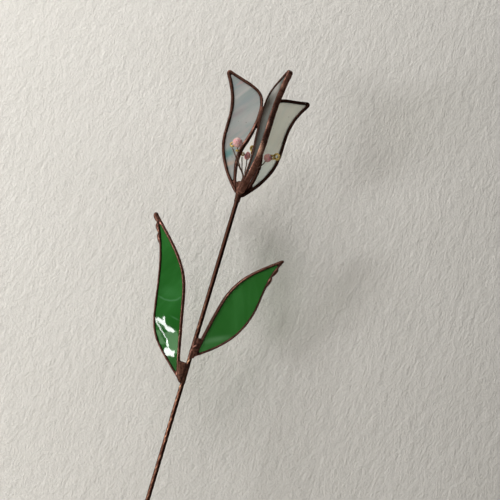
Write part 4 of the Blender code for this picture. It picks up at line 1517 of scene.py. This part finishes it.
@dataclass
class Stem:
    """The straight rod with a shallow twisted relief that fades out higher up."""

    length: float = 303.0
    radius: float = 1.7
    pitch: float = 22.0
    starts: int = 4
    relief: float = 0.1
    smooth_from: float = 195.0
    smooth_to: float = 245.0
    sides: int = 30
    step: float = 0.3
    chamfer: float = 0.12

    def build(self) -> bpy.types.Object:
        """Builds the rod.

        Returns:
            The rod's object.
        """
        between = np.arange(0.5, self.length - 0.4, self.step)
        ends = (0.0, self.chamfer), (self.length - self.chamfer, self.length)
        heights = np.concatenate([ends[0], between, ends[1]])
        fade = 1.0 - np.clip((heights - self.smooth_from) / (self.smooth_to - self.smooth_from), 0.0, 1.0)
        points = []
        for height, keep in zip(heights, fade):
            near_end = min(height, self.length - height) < 0.1
            for k in range(self.sides):
                angle = 2 * math.pi * k / self.sides
                wave = math.sin(self.starts * (angle - 2 * math.pi * height / self.pitch))
                wander = noise.noise(Vector((math.cos(angle), math.sin(angle), height * 0.22)))
                radius = self.radius - self.relief * (0.25 + 0.75 * keep) * (0.5 + 0.3 * wave + 0.3 * wander)
                radius -= self.chamfer if near_end else 0.0
                points.append((radius * math.cos(angle), radius * math.sin(angle), height))
        mesh = new_mesh("twisted_stem", np.array(points) * MM, capped_faces(len(heights), self.sides))
        mesh.set_sharp_from_angle(angle=math.radians(50))
        return new_object("twisted_stem", mesh)

    def dress(self, material: bpy.types.Material) -> bpy.types.Object:
        """Builds the rod, dresses it and lets it stand for the CAD rod."""
        return hand_over(self.build(), material, "coppered_rod", "stem_rod")


# Glass


@dataclass
class GlassPanes:
    """The CAD panes, which keep their shape and get a better glass."""

    finishes: dict[str, StreakyGlass | GreenGlass]

    def dress(self, effects: Effects) -> None:
        """Gives each pane its own glass."""
        for node, finish in self.finishes.items():
            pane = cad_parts[node]
            material = finish.build(effects)
            pane.data.materials.clear()
            pane.data.materials.append(material)
            LOG.info("%s: %s", node, material.name)


# Stamens


@dataclass
class StamenWire:
    """One wire of the stamens, from its seat to its end, in millimetres from the flower's zero."""

    number: int
    start: float
    knots: tuple[Triple, ...]
    radius: float = 0.4
    ring_radius: float = 1.15
    seat: float = 9.9
    bundle: float = 4.8
    sides: int = 10
    waver: float = 0.16

    def path(self) -> np.ndarray:
        """The wire's centre line.

        Returns:
            Its points, in millimetres.
        """
        angle = math.radians(self.start)
        foot = np.array([self.ring_radius * math.cos(angle), self.ring_radius * math.sin(angle), self.seat])
        line = spline([foot, foot + (0.0, 0.0, self.bundle), *self.knots], 60)
        seeds = [Vector((axis * 7.0, self.number * 3.0, 0.0)) for axis in range(3)]
        drift = [[noise.noise(seed + Vector((0, 0, place[2] * 0.35))) for seed in seeds] for place in line]
        return line + np.array(drift) * self.waver

    def dress(self, material: bpy.types.Material) -> bpy.types.Object:
        """Builds the wire, dresses it and lets it stand for its CAD node.

        Args:
            material: The finish.

        Returns:
            The wire's object.
        """
        path = self.path()
        radii = np.full(len(path), self.radius)
        radii[-1] *= 0.6
        points, faces = tube(path, radii, self.sides)
        points[:, 2] += FLOWER_HEIGHT
        name = f"wire_{self.number}"
        made = new_object(name, new_mesh(name, points * MM, faces))
        return hand_over(made, material, "stamen_wire", f"stamen_wire_{self.number}")


@dataclass
class WireCoil:
    """A small ring wound from thin gold-coloured wire, in millimetres from the flower's zero."""

    number: int
    centre: Triple
    radii: Pair
    stretch: float
    axis: Triple
    turns: float = 5.4
    wound: Turn = Turn.WITH_CLOCK
    steps: int = 30
    sides: int = 8
    looseness: float = 0.3

    def path(self) -> np.ndarray:
        """The coil's centre line in its own frame.

        Returns:
            Its points, in millimetres.
        """
        major, minor = self.radii
        thin = self.wire_radius()
        room = minor - thin
        count = int(self.turns * self.steps)
        share = np.linspace(0.0, 1.0, count)
        angle = share * self.turns * 2 * math.pi * self.wound.value
        drift = share * self.turns * 2 * math.pi * 0.37 + self.number
        lift = room * np.sin(drift) + self.looseness * major * np.sin(angle * 0.5 + self.number)
        reach = major + room * np.cos(drift) - self.looseness * major * (1 + np.sin(drift * 1.9)) / 2
        return np.stack([reach * np.cos(angle) * self.stretch, reach * np.sin(angle), lift], axis=1)

    def wire_radius(self) -> float:
        """Radius of the thin wire."""
        return 0.78 * self.radii[1]

    def dress(self, material: bpy.types.Material) -> bpy.types.Object:
        """Builds the coil, dresses it and lets it stand for its CAD ring, if it has one.

        Args:
            material: The finish.

        Returns:
            The coil's object.
        """
        path = self.path()
        points, faces = tube(path, np.full(len(path), self.wire_radius()), self.sides)
        turn = Vector((0, 0, 1)).rotation_difference(Vector(self.axis)).to_matrix()
        points = points @ np.array(turn).T + np.array(self.centre) + (0.0, 0.0, FLOWER_HEIGHT)
        name = f"coil_{self.number}"
        made = new_object(name, new_mesh(name, points * MM, faces))
        ring = f"stamen_ring_{self.number}"
        return hand_over(made, material, "gold_wire", *([ring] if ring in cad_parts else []))


@dataclass
class StoneChip:
    """A tumbled stone chip: a softened, pitted ball with flats, in millimetres from the flower's zero."""

    name: str
    centre: Triple
    half: Triple
    seed: int
    finish: PinkStone
    flats: int = 11
    flat_out: Pair = (0.80, 0.96)
    softening: float = 0.6
    pits: float = 0.07

    def build(self) -> bpy.types.Object:
        """Builds the chip.

        Returns:
            The chip's object.
        """
        chance = np.random.default_rng(self.seed)
        normals = unit(chance.normal(size=(self.flats, 3)))
        depths = chance.uniform(*self.flat_out, size=self.flats)
        ball = bmesh.new()
        bmesh.ops.create_icosphere(ball, subdivisions=5, radius=1.0)
        places = np.array([vert.co for vert in ball.verts])
        faces = [tuple(vert.index for vert in face.verts) for face in ball.faces]
        ball.free()
        for normal, depth in zip(normals, depths):
            over = np.maximum(places @ normal - depth, 0.0)
            places = places - normal * (over * self.softening)[:, None]
        pit = np.array([noise.noise(Vector(place) * 3.1 + Vector((self.seed, 0, 0))) for place in places])
        fine = np.array([noise.noise(Vector(place) * 9.0 + Vector((0, self.seed, 0))) for place in places])
        places = places * (1.0 + self.pits * (pit - 0.6) + 0.3 * self.pits * fine)[:, None]
        places = places * self.half + np.array(self.centre) + (0.0, 0.0, FLOWER_HEIGHT)
        name = f"stone_{self.name}"
        return new_object(name, new_mesh(name, places * MM, faces))

    def dress(self, effects: Effects) -> bpy.types.Object:
        """Builds the chip, dresses it and lets it stand for its CAD stone."""
        return hand_over(self.build(), self.finish.build(effects), "pink_stone", f"stamen_stone_{self.name}")


# Surroundings


def new_lamp(name: str, shape: str, power: float, colour: Colour) -> bpy.types.Object:
    """Adds an area lamp, whose size and place are set afterwards.

    Args:
        name: The lamp's name.
        shape: Shape of its area.
        power: Its power, in watts.
        colour: Colour of its light.

    Returns:
        The lamp's object.
    """
    light = bpy.data.lights.new(name, "AREA")
    light.shape, light.energy, light.color = shape, power, colour
    made = bpy.data.objects.new(name, light)
    bpy.context.scene.collection.objects.link(made)
    return made


def flat_sheet(
    name: str, corners: list[tuple[float, float, float]], material: bpy.types.Material
) -> bpy.types.Object:
    """Adds one flat face with a material.

    Args:
        name: The object's name.
        corners: Its corners in order, in metres.
        material: Its material.

    Returns:
        The object.
    """
    mesh = bpy.data.meshes.new(name)
    mesh.from_pydata(corners, [], [(0, 1, 2, 3)])
    mesh.materials.append(material)
    return new_object(name, mesh)


@dataclass
class Studio:
    """The plastered wall, the floor, the lamps and the camera."""

    wall_gap: float = 0.056
    wall_half: float = 0.9
    wall_top: float = 1.1
    floor_half: float = 3.0
    camera_place: Triple = (0.0, -0.39964, 0.23436)
    camera_yaw: float = 0.0497388
    camera_pitch: float = 0.0833885
    camera_roll: float = 0.2865754
    focal_share: float = 1.072

    def wall_material(self) -> bpy.types.Material:
        """Off-white dappled plaster that can be seen through from behind.

        Returns:
            The material.
        """
        made, graph, shader, where = new_material("plaster")
        drawn = graph.placed(where, (0, 0, 0), (0.0, 0.5, 0.0), (1.0, 1.0, 0.6))
        broad = graph.noise(where, 9.0, 3.0, 0.5, 0.3)
        ridges = graph.noise(drawn, 170.0, 3.0, 0.55, 0.25)
        grain = graph.noise(where, 520.0, 3.0, 0.6, 0.3)
        colour = graph.mix(graph.step(broad, 0.3, 0.7), (0.715, 0.688, 0.640), (0.745, 0.718, 0.671))
        grained = graph.times(graph.step(grain, 0.4, 0.62), 0.35)
        colour = graph.mix(grained, colour, (0.65, 0.628, 0.583))
        graph.feed(shader.inputs["Base Color"], colour)
        shader.inputs["Roughness"].default_value = 0.9
        height = graph.plus(ridges, graph.times(grain, 0.6))
        graph.feed(shader.inputs["Normal"], graph.bump(height, 0.65, 0.0015))
        clear = graph.add("ShaderNodeBsdfTransparent")
        back = graph.add("ShaderNodeNewGeometry").outputs["Backfacing"]
        graph.surface(back, shader.outputs[0], clear.outputs[0])
        return made

    def floor_material(self) -> bpy.types.Material:
        """Plain pale floor with a faint unevenness, which stays pale towards its far edge.

        Returns:
            The material.
        """
        made, graph, shader, where = new_material("pale_floor")
        cloud = graph.noise(where, 3.0, 3.0, 0.5, 0.2)
        graph.feed(shader.inputs["Base Color"], graph.mix(cloud, (0.62, 0.60, 0.565), (0.68, 0.66, 0.625)))
        shader.inputs["Roughness"].default_value = 0.7
        far = graph.step(graph.vector_maths("LENGTH", where)["Value"], 0.3, 0.85)
        glow = graph.add("ShaderNodeEmission")
        glow.inputs["Color"].default_value = (0.50, 0.485, 0.455, 1.0)
        seen = graph.add("ShaderNodeLightPath").outputs["Is Camera Ray"]
        graph.surface(graph.times(far, seen), shader.outputs[0], glow.outputs[0])
        return made

    def build_stage(self) -> None:
        """Builds the wall and the floor."""
        wide, top, gap, half = self.wall_half, self.wall_top, self.wall_gap, self.floor_half
        upright = [(-wide, gap, 0.0), (wide, gap, 0.0), (wide, gap, top), (-wide, gap, top)]
        level = [(-half, -half, 0.0), (half, -half, 0.0), (half, half, 0.0), (-half, half, 0.0)]
        wall = flat_sheet("wall", upright, self.wall_material())
        floor = flat_sheet("floor", level, self.floor_material())
        floor.visible_shadow = False

    def build_lamps(self) -> None:
        """A large soft lamp in front on the left, a small low one for the shadows, and a dim room around."""
        self.lamp("soft_key", (-0.62, -0.44, 1.05), (0.0, 0.02, 0.26), 1.0, 13.4, (1.0, 0.995, 0.985))
        self.lamp("low_side", (-1.00, -0.55, -0.13), (0.0, 0.02, 0.26), 0.22, 7.0, (0.97, 0.985, 1.0))
        world = bpy.data.worlds.new("room")
        world.use_nodes = True
        bpy.context.scene.world = world
        graph = Graph(world.node_tree)
        where = graph.add("ShaderNodeTexCoord").outputs["Generated"]
        towards = graph.vector_maths("DOT_PRODUCT", where, (-0.76, -0.42, 0.5))["Value"]
        share = graph.step(towards, -0.4, 0.95)
        colour = graph.mix(share, (0.0175, 0.0175, 0.0178), (0.088, 0.088, 0.089))
        rays = graph.add("ShaderNodeLightPath").outputs
        seen = graph.maths("MAXIMUM", rays["Is Camera Ray"], rays["Is Transmission Ray"])
        colour = graph.mix(seen, colour, (0.52, 0.505, 0.475))
        graph.feed(world.node_tree.nodes["Background"].inputs["Color"], colour)
        world.node_tree.nodes["Background"].inputs["Strength"].default_value = 1.0

    @staticmethod
    def lamp(
        name: str, place: Triple, aim: Triple, size: float, power: float, colour: Colour
    ) -> bpy.types.Object:
        """Adds a square area lamp that faces a point.

        Args:
            name: Its name.
            place: Where it stands.
            aim: The point that it faces.
            size: Length of its sides.
            power: Its power in watts.
            colour: Its colour.

        Returns:
            The lamp.
        """
        made = new_lamp(name, "SQUARE", power, colour)
        made.data.size = size
        made.location = place
        made.rotation_euler = (Vector(aim) - Vector(place)).to_track_quat("-Z", "Y").to_euler()
        return made

    def build_camera(self) -> None:
        """Puts the camera at the photograph's place and angle."""
        forward = Vector(
            (
                math.sin(self.camera_yaw) * math.cos(self.camera_pitch),
                math.cos(self.camera_yaw) * math.cos(self.camera_pitch),
                math.sin(self.camera_pitch),
            )
        )
        level = Vector((math.cos(self.camera_yaw), -math.sin(self.camera_yaw), 0.0))
        over = level.cross(forward)
        right = level * math.cos(self.camera_roll) + over * math.sin(self.camera_roll)
        up = over * math.cos(self.camera_roll) - level * math.sin(self.camera_roll)
        data = bpy.data.cameras.new("camera")
        data.sensor_width = 36.0
        data.lens = 36.0 * self.focal_share
        data.clip_start = 0.01
        made = bpy.data.objects.new("camera", data)
        turn = Matrix((right, up, -forward)).transposed().to_4x4()
        made.matrix_world = Matrix.Translation(self.camera_place) @ turn
        bpy.context.scene.collection.objects.link(made)
        bpy.context.scene.camera = made
        bpy.context.scene.view_settings.view_transform = "Standard"


@dataclass(frozen=True)
class Glint:
    """A bright shape mirrored in a pane: its middle, size and slant there, in millimetres and degrees."""

    centre: Pair
    size: Pair
    slant: float
    radiance: float
    colour: Colour = (1.0, 1.0, 1.0)

    def corners(self) -> list[Pair]:
        """Corners of the shape, as reach from the stem and height above the flower's zero.

        Returns:
            The four corners in order.
        """
        angle = math.radians(self.slant)
        along, across = (math.cos(angle), math.sin(angle)), (-math.sin(angle), math.cos(angle))
        found = []
        for u, v in ((-0.5, -0.5), (0.5, -0.5), (0.5, 0.5), (-0.5, 0.5)):
            wide, tall = u * self.size[0], v * self.size[1]
            found.append(tuple(self.centre[k] + wide * along[k] + tall * across[k] for k in (0, 1)))
        return found


@dataclass
class MirroredWindow:
    """Small area lamps that a glossy pane mirrors towards the camera, as it did a window."""

    azimuth: float
    glints: tuple[Glint, ...]
    camera: Triple = Studio.camera_place
    distance: float = 0.75

    def on_pane(self, spot: Pair) -> Vector:
        """A spot on the pane, given by its reach and its height above the flower's zero.

        Args:
            spot: Its reach and its height above the flower's zero, in millimetres.

        Returns:
            The place, in metres.
        """
        angle = math.radians(self.azimuth)
        out = Vector((math.cos(angle), math.sin(angle), 0.0))
        return out * (spot[0] * MM) + Vector((0, 0, (spot[1] + FLOWER_HEIGHT) * MM))

    def mirrored(self, spot: Pair) -> Vector:
        """Where the camera's ray by way of a spot on the pane ends up.

        Args:
            spot: Its reach and its height above the flower's zero, in millimetres.

        Returns:
            The place, in metres.
        """
        angle = math.radians(self.azimuth)
        normal = Vector((math.cos(angle), math.sin(angle), 0.0)).cross(Vector((0, 0, 1)))
        place = self.on_pane(spot)
        ray = (place - Vector(self.camera)).normalized()
        return place + (ray - 2 * ray.dot(normal) * normal) * self.distance

    def build(self) -> None:
        """Places one lamp for each glint."""
        for number, glint in enumerate(self.glints, 1):
            first, second, third, fourth = (self.mirrored(spot) for spot in glint.corners())
            middle = (first + second + third + fourth) / 4
            along = (second - first).normalized()
            facing = (middle - self.on_pane(glint.centre)).normalized()
            facing = (facing - facing.dot(along) * along).normalized()
            across = facing.cross(along)
            wide, tall = (second - first).length, (fourth - first).length
            power = glint.radiance * math.pi * wide * tall
            made = new_lamp(f"glint_{number}", "RECTANGLE", power, glint.colour)
            made.data.size, made.data.size_y = wide, tall
            turn = Matrix((along, across, facing)).transposed().to_4x4()
            made.matrix_world = Matrix.Translation(middle) @ turn
            made.visible_camera = False


# The tulip

PETAL = Outline(
    outer=(
        *((1.0, -1.6), (9.0, 7.0), (18.4, 20.8), (23.5, 34.5)),
        *((24.6, 50.0), (25.5, 64.0), (30.4, 78.5), (39.4, 93.4)),
    ),
    inner=(
        *((39.4, 93.4), (26.0, 88.7), (12.4, 84.6), (5.0, 79.8), (1.5, 71.5), (1.1, 61.0)),
        *((3.5, 46.0), (7.2, 33.0), (7.3, 21.5), (4.7, 10.3), (1.0, -1.6)),
    ),
    tip_radius=2.5,
    foot_radius=0.9,
)
LEFT_LEAF = Outline(
    outer=(
        *((2.6, -1.1), (17.9, 11.8), (31.5, 26.5), (38.0, 46.5)),
        *((41.8, 67.0), (47.0, 87.5), (55.2, 106.5), (65.9, 122.9)),
    ),
    inner=(
        *((65.9, 122.9), (48.4, 106.0), (31.8, 89.0), (21.2, 72.5)),
        *((15.7, 53.0), (11.1, 32.5), (6.5, 13.0), (2.6, -1.1)),
    ),
    tip_radius=1.2,
    foot_radius=1.0,
    drops=(96.0, 103.2, 110.8),
)
RIGHT_LEAF = Outline(
    outer=((1.8, -0.9), (16.6, 9.0), (31.0, 24.2), (38.8, 42.5), (41.7, 61.0), (45.6, 77.0), (53.6, 91.6)),
    inner=((53.6, 91.6), (38.6, 80.4), (22.5, 66.1), (12.6, 50.1), (7.4, 31.5), (3.9, 14.5), (1.8, -0.9)),
    tip_radius=1.3,
    foot_radius=1.0,
    drops=(68.2, 76.4),
)
PETAL_BEAD = BeadSection(half_foot=2.7, half_tip=2.3, lip_foot=1.6, lip_tip=1.8, inner_growth=0.5)
LEFT_PETAL_BEAD = BeadSection(half_foot=2.7, half_tip=2.3, lip_foot=1.5, lip_tip=1.9, inner_growth=0.8)
RIGHT_PETAL_BEAD = BeadSection(half_foot=2.7, half_tip=2.3, lip_foot=1.9, lip_tip=1.8)
LEAF_BEAD = BeadSection(half_foot=2.3, half_tip=2.3, lip_foot=1.2, lip_tip=1.2)

PETAL_SINK = 1.8
LEFT_LEAF_HEIGHT = 161.4
RIGHT_LEAF_HEIGHT = 180.8
AZIMUTHS = {
    "petal_front": -73.0,
    "petal_right": 20.0,
    "petal_left": 179.0,
    "leaf_left": 166.0,
    "leaf_right": 15.0,
}

PETAL_GLASS_LEFT = StreakyGlass(
    name="petal_glass_left",
    azimuth=AZIMUTHS["petal_left"],
    pale=(0.560, 0.560, 0.535),
    cool=(0.330, 0.390, 0.375),
    warm=(0.52, 0.46, 0.45),
    low=(0.40, 0.45, 0.42),
    low_height=(4.0, 20.0),
    lean=36.0,
    patches=(
        Patch((17.3, 27.0), (4.8, 11.0), 30.0, (0.15, 0.34, 0.325), 0.95),
        Patch((14.0, 20.5), (2.4, 9.0), 52.0, (0.66, 0.50, 0.41), 0.9),
        Patch((25.8, 80.2), (2.8, 11.0), 40.0, (0.25, 0.40, 0.41), 0.85),
        Patch((22.4, 84.0), (1.9, 12.0), 40.0, (0.57, 0.40, 0.39), 0.85),
        Patch((16.0, 70.0), (3.2, 15.0), 40.0, (0.33, 0.375, 0.385), 0.75),
        Patch((20.0, 58.0), (2.4, 16.0), 38.0, (0.36, 0.32, 0.33), 0.75),
        Patch((12.0, 44.0), (2.2, 14.0), 36.0, (0.52, 0.47, 0.45), 0.6),
        Patch((10.4, 54.9), (0.55, 0.55), 0.0, (0.10, 0.06, 0.05), 0.9),
        Patch((13.0, 26.2), (0.5, 0.5), 0.0, (0.08, 0.06, 0.05), 0.9),
        Patch((12.7, 82.0), (1.8, 0.5), 30.0, (0.07, 0.06, 0.06), 0.8),
    ),
)
# A lighter copy of the petal glass, palest low down: painted light for a pane that the other petals shade.
PETAL_GLASS_RIGHT = StreakyGlass(
    name="petal_glass_right",
    azimuth=AZIMUTHS["petal_right"],
    pale=(0.83, 0.84, 0.75),
    cool=(0.72, 0.75, 0.68),
    warm=(0.85, 0.81, 0.72),
    low=(0.90, 0.97, 0.92),
    low_height=(20.0, 50.0),
    lean=-14.0,
    patches=(
        Patch((20.7, 71.3), (0.5, 0.7), 0.0, (0.12, 0.10, 0.08), 0.9),
        Patch((11.0, 57.8), (0.5, 0.5), 0.0, (0.12, 0.10, 0.08), 0.8),
    ),
    transmission=0.75,
)
# A darker copy of the petal glass as painted shade: near-black patches of painted shade low down and by the
# stem, a painted dark reflection in its middle, painted light at its top.
PETAL_GLASS_FRONT = StreakyGlass(
    name="petal_glass_front",
    azimuth=AZIMUTHS["petal_front"],
    pale=(0.165, 0.163, 0.150),
    cool=(0.072, 0.080, 0.073),
    warm=(0.118, 0.102, 0.083),
    low=(0.050, 0.058, 0.053),
    low_height=(30.0, 84.0),
    lean=16.0,
    patches=(
        Patch((9.0, 70.5), (14.0, 7.5), 0.0, (0.024, 0.019, 0.012), 0.9),
        Patch((13.5, 64.0), (5.0, 5.0), 0.0, (0.055, 0.050, 0.040), 0.6),
        Patch((6.0, 36.0), (11.0, 20.0), 0.0, (0.026, 0.017, 0.011), 0.96),
        Patch((3.0, 52.0), (13.0, 16.0), 0.0, (0.020, 0.014, 0.009), 0.96),
        Patch((4.0, 66.0), (12.0, 11.0), 0.0, (0.024, 0.019, 0.013), 0.92),
        Patch((17.5, 82.5), (9.0, 8.5), 0.0, (0.32, 0.30, 0.275), 0.85),
    ),
    transmission=0.12,
    gloss=0.12,
)
LEAF_GLASS_LEFT = GreenGlass(
    "leaf_glass_left",
    AZIMUTHS["leaf_left"],
    patches=(
        Patch((33.9, -90.0), (5.0, 1.1), 11.0, (0.10, 0.26, 0.12), 0.4),
        Patch((28.9, -90.3), (5.0, 1.1), -5.0, (0.10, 0.26, 0.12), 0.4),
        Patch((24.4, -89.2), (5.0, 1.1), -22.0, (0.10, 0.26, 0.12), 0.4),
        Patch((20.9, -86.7), (4.5, 1.1), -48.0, (0.10, 0.26, 0.12), 0.4),
        Patch((29.0, -84.5), (12.0, 6.5), 0.0, (0.040, 0.175, 0.045), 0.45),
        Patch((19.0, -101.6), (6.0, 0.9), 10.0, (0.10, 0.26, 0.12), 0.35),
    ),
)
# The right leaf's greens are lighter than the left leaf's as painted light, and its two pale patches are a
# painted reflection.
LEAF_GLASS_RIGHT = GreenGlass(
    "leaf_glass_right",
    AZIMUTHS["leaf_right"],
    deep=(0.032, 0.180, 0.028),
    lighter=(0.050, 0.235, 0.047),
    patches=(
        Patch((12.7, -114.2), (18.0, 10.0), 31.0, (0.065, 0.25, 0.065), 0.5),
        Patch((15.4, -107.9), (19.0, 3.4), 24.0, (0.13, 0.33, 0.13), 0.7),
    ),
)
LEFT_LEAF_GLINTS = (
    Glint((24.5, -108.5), (17.0, 2.3), 22.0, 24.0),
    Glint((27.1, -104.4), (4.2, 1.8), 72.0, 24.0),
    Glint((27.0, -112.6), (22.0, 0.8), 45.0, 22.0),
    Glint((18.6, -121.3), (6.8, 1.2), 50.0, 24.0),
    Glint((16.6, -126.6), (9.7, 5.2), -10.0, 24.0),
    Glint((14.6, -118.6), (15.5, 9.5), 56.0, 3.0, (0.68, 1.0, 0.66)),
    Glint((27.0, -117.7), (11.9, 2.8), 51.0, 2.9, (0.68, 1.0, 0.66)),
)


def build_tulip(effects: Effects) -> None:
    """Builds and dresses every piece of the tulip.

    Args:
        effects: The shared node groups.
    """
    # The front and right petals' beads get painted shade, by the stem and where the other petals shade them.
    front = FramedPane(PETAL, PETAL_BEAD, AZIMUTHS["petal_front"], FLOWER_HEIGHT, 0.9, 8.6, 24.0)
    right = FramedPane(PETAL, RIGHT_PETAL_BEAD, AZIMUTHS["petal_right"], FLOWER_HEIGHT - PETAL_SINK, 0.85)
    left = FramedPane(PETAL, LEFT_PETAL_BEAD, AZIMUTHS["petal_left"])
    left_leaf = FramedPane(LEFT_LEAF, LEAF_BEAD, AZIMUTHS["leaf_left"], LEFT_LEAF_HEIGHT)
    right_leaf = FramedPane(RIGHT_LEAF, LEAF_BEAD, AZIMUTHS["leaf_right"], RIGHT_LEAF_HEIGHT)
    patina = PatinaSolder().build(effects)
    petal_edges = ("petal_edge_front", "petal_edge_right", "petal_edge_left")
    work = (
        SolderWork(
            "flower_solder", [front, right, left], ("flower_base", "petal_seam"), petal_edges, pool_depth=0.75
        ),
        SolderWork("left_leaf_solder", [left_leaf], ("leaf_joint_left",), ("leaf_edge_left",), sleeve=1.9),
        SolderWork(
            "right_leaf_solder",
            [right_leaf],
            ("leaf_joint_right",),
            ("leaf_edge_right",),
            pool_depth=0.15,
            sleeve=1.9,
        ),
    )
    for solder in work:
        solder.dress(patina)
    Stem().dress(TwistedCopper().build(effects))
    glasses = (PETAL_GLASS_LEFT, PETAL_GLASS_RIGHT, PETAL_GLASS_FRONT, LEAF_GLASS_LEFT, LEAF_GLASS_RIGHT)
    GlassPanes({glass.name: glass for glass in glasses}).dress(effects)
    build_stamens(effects)


def build_stamens(effects: Effects) -> None:
    """Builds the wires, stones and coils in the cup of the flower.

    Args:
        effects: The shared node groups.
    """
    brown = DrawnWire("stamen_wire", (0.17, 0.095, 0.065), (0.045, 0.025, 0.018)).build(effects)
    gold = DrawnWire("gold_wire", (0.70, 0.51, 0.17), (0.22, 0.145, 0.04), 0.75, 0.32).build(effects)
    routes = (
        (180, ((-4.0, -1.8, 18.6), (-7.4, -3.4, 22.2), (-10.6, -4.4, 26.8), (-14.6, -4.6, 32.0))),
        (240, ((-3.6, -3.2, 18.4), (-6.6, -5.4, 22.4), (-9.0, -7.0, 27.4), (-11.6, -7.9, 34.6))),
        (120, ((-2.6, 1.9, 18.6), (-4.0, 2.6, 23.0), (-6.0, 4.2, 30.0))),
        (60, ((-0.4, 2.4, 18.6), (-0.9, 3.8, 23.6), (-2.0, 4.8, 30.6))),
        (0, ((1.6, 1.2, 18.6), (2.2, 3.6, 25.0), (1.6, 5.4, 31.0), (0.6, 6.0, 35.6))),
        (
            300,
            (
                (3.6, -1.8, 18.6),
                (8.1, -2.2, 23.8),
                (11.6, -2.4, 29.2),
                (13.2, -2.4, 33.2),
                (16.0, -2.2, 35.4),
            ),
        ),
    )
    for number, (start, knots) in enumerate(routes, 1):
        StamenWire(number, start, knots).dress(brown)
    coils = (
        ((-15.5, -5.0, 34.4), (1.6, 0.55), 1.0, (0.5, 1.0, 0.1)),
        ((-10.2, -7.45, 30.5), (1.25, 0.5), 1.0, (-0.26, -0.12, 0.92)),
        ((-6.0, 4.3, 32.2), (1.15, 0.55), 1.1, (0.5, 1.0, 0.1)),
        ((0.2, 6.1, 39.0), (1.9, 0.6), 1.3, (0.7, 0.7, 0.1)),
        ((19.4, -2.0, 36.4), (2.3, 0.7), 1.05, (0.25, 1.0, 0.25)),
        ((16.0, -2.6, 34.8), (1.4, 0.55), 1.3, (0.5, 1.0, 0.4)),
        ((0.6, 5.9, 35.6), (1.2, 0.5), 1.2, (1.0, 0.3, 0.5)),
    )
    for number, (centre, radii, stretch, axis) in enumerate(coils, 1):
        wound = Turn.WITH_CLOCK if number % 2 else Turn.AGAINST_CLOCK
        WireCoil(number, centre, radii, stretch, axis, wound=wound).dress(gold)
    light_pink = PinkStone("pink_stone_light", (0.64, 0.41, 0.39), (0.52, 0.30, 0.29), 0.0)
    rose = PinkStone("pink_stone_rose", (0.88, 0.42, 0.41), (0.66, 0.22, 0.22), 0.3)
    brownish = PinkStone("pink_stone_brownish", (0.68, 0.39, 0.38), (0.46, 0.22, 0.22), 0.7)
    chips = (
        StoneChip("left", (-12.0, -8.0, 36.2), (3.9, 3.6, 3.8), 3, light_pink, flat_out=(0.86, 0.98)),
        StoneChip("middle", (-2.2, 5.0, 32.1), (2.4, 2.6, 3.2), 8, rose),
        StoneChip("right", (12.9, -2.4, 33.2), (3.3, 3.0, 3.3), 5, brownish),
    )
    for chip in chips:
        chip.dress(effects)


def main() -> None:
    """Builds the scene in order."""
    logging.basicConfig(level=logging.INFO, format="%(name)s: %(message)s")
    studio = Studio()
    studio.build_camera()
    studio.build_stage()
    studio.build_lamps()
    MirroredWindow(AZIMUTHS["leaf_left"], LEFT_LEAF_GLINTS).build()
    build_tulip(Effects())


if __name__ == "__main__":
    main()
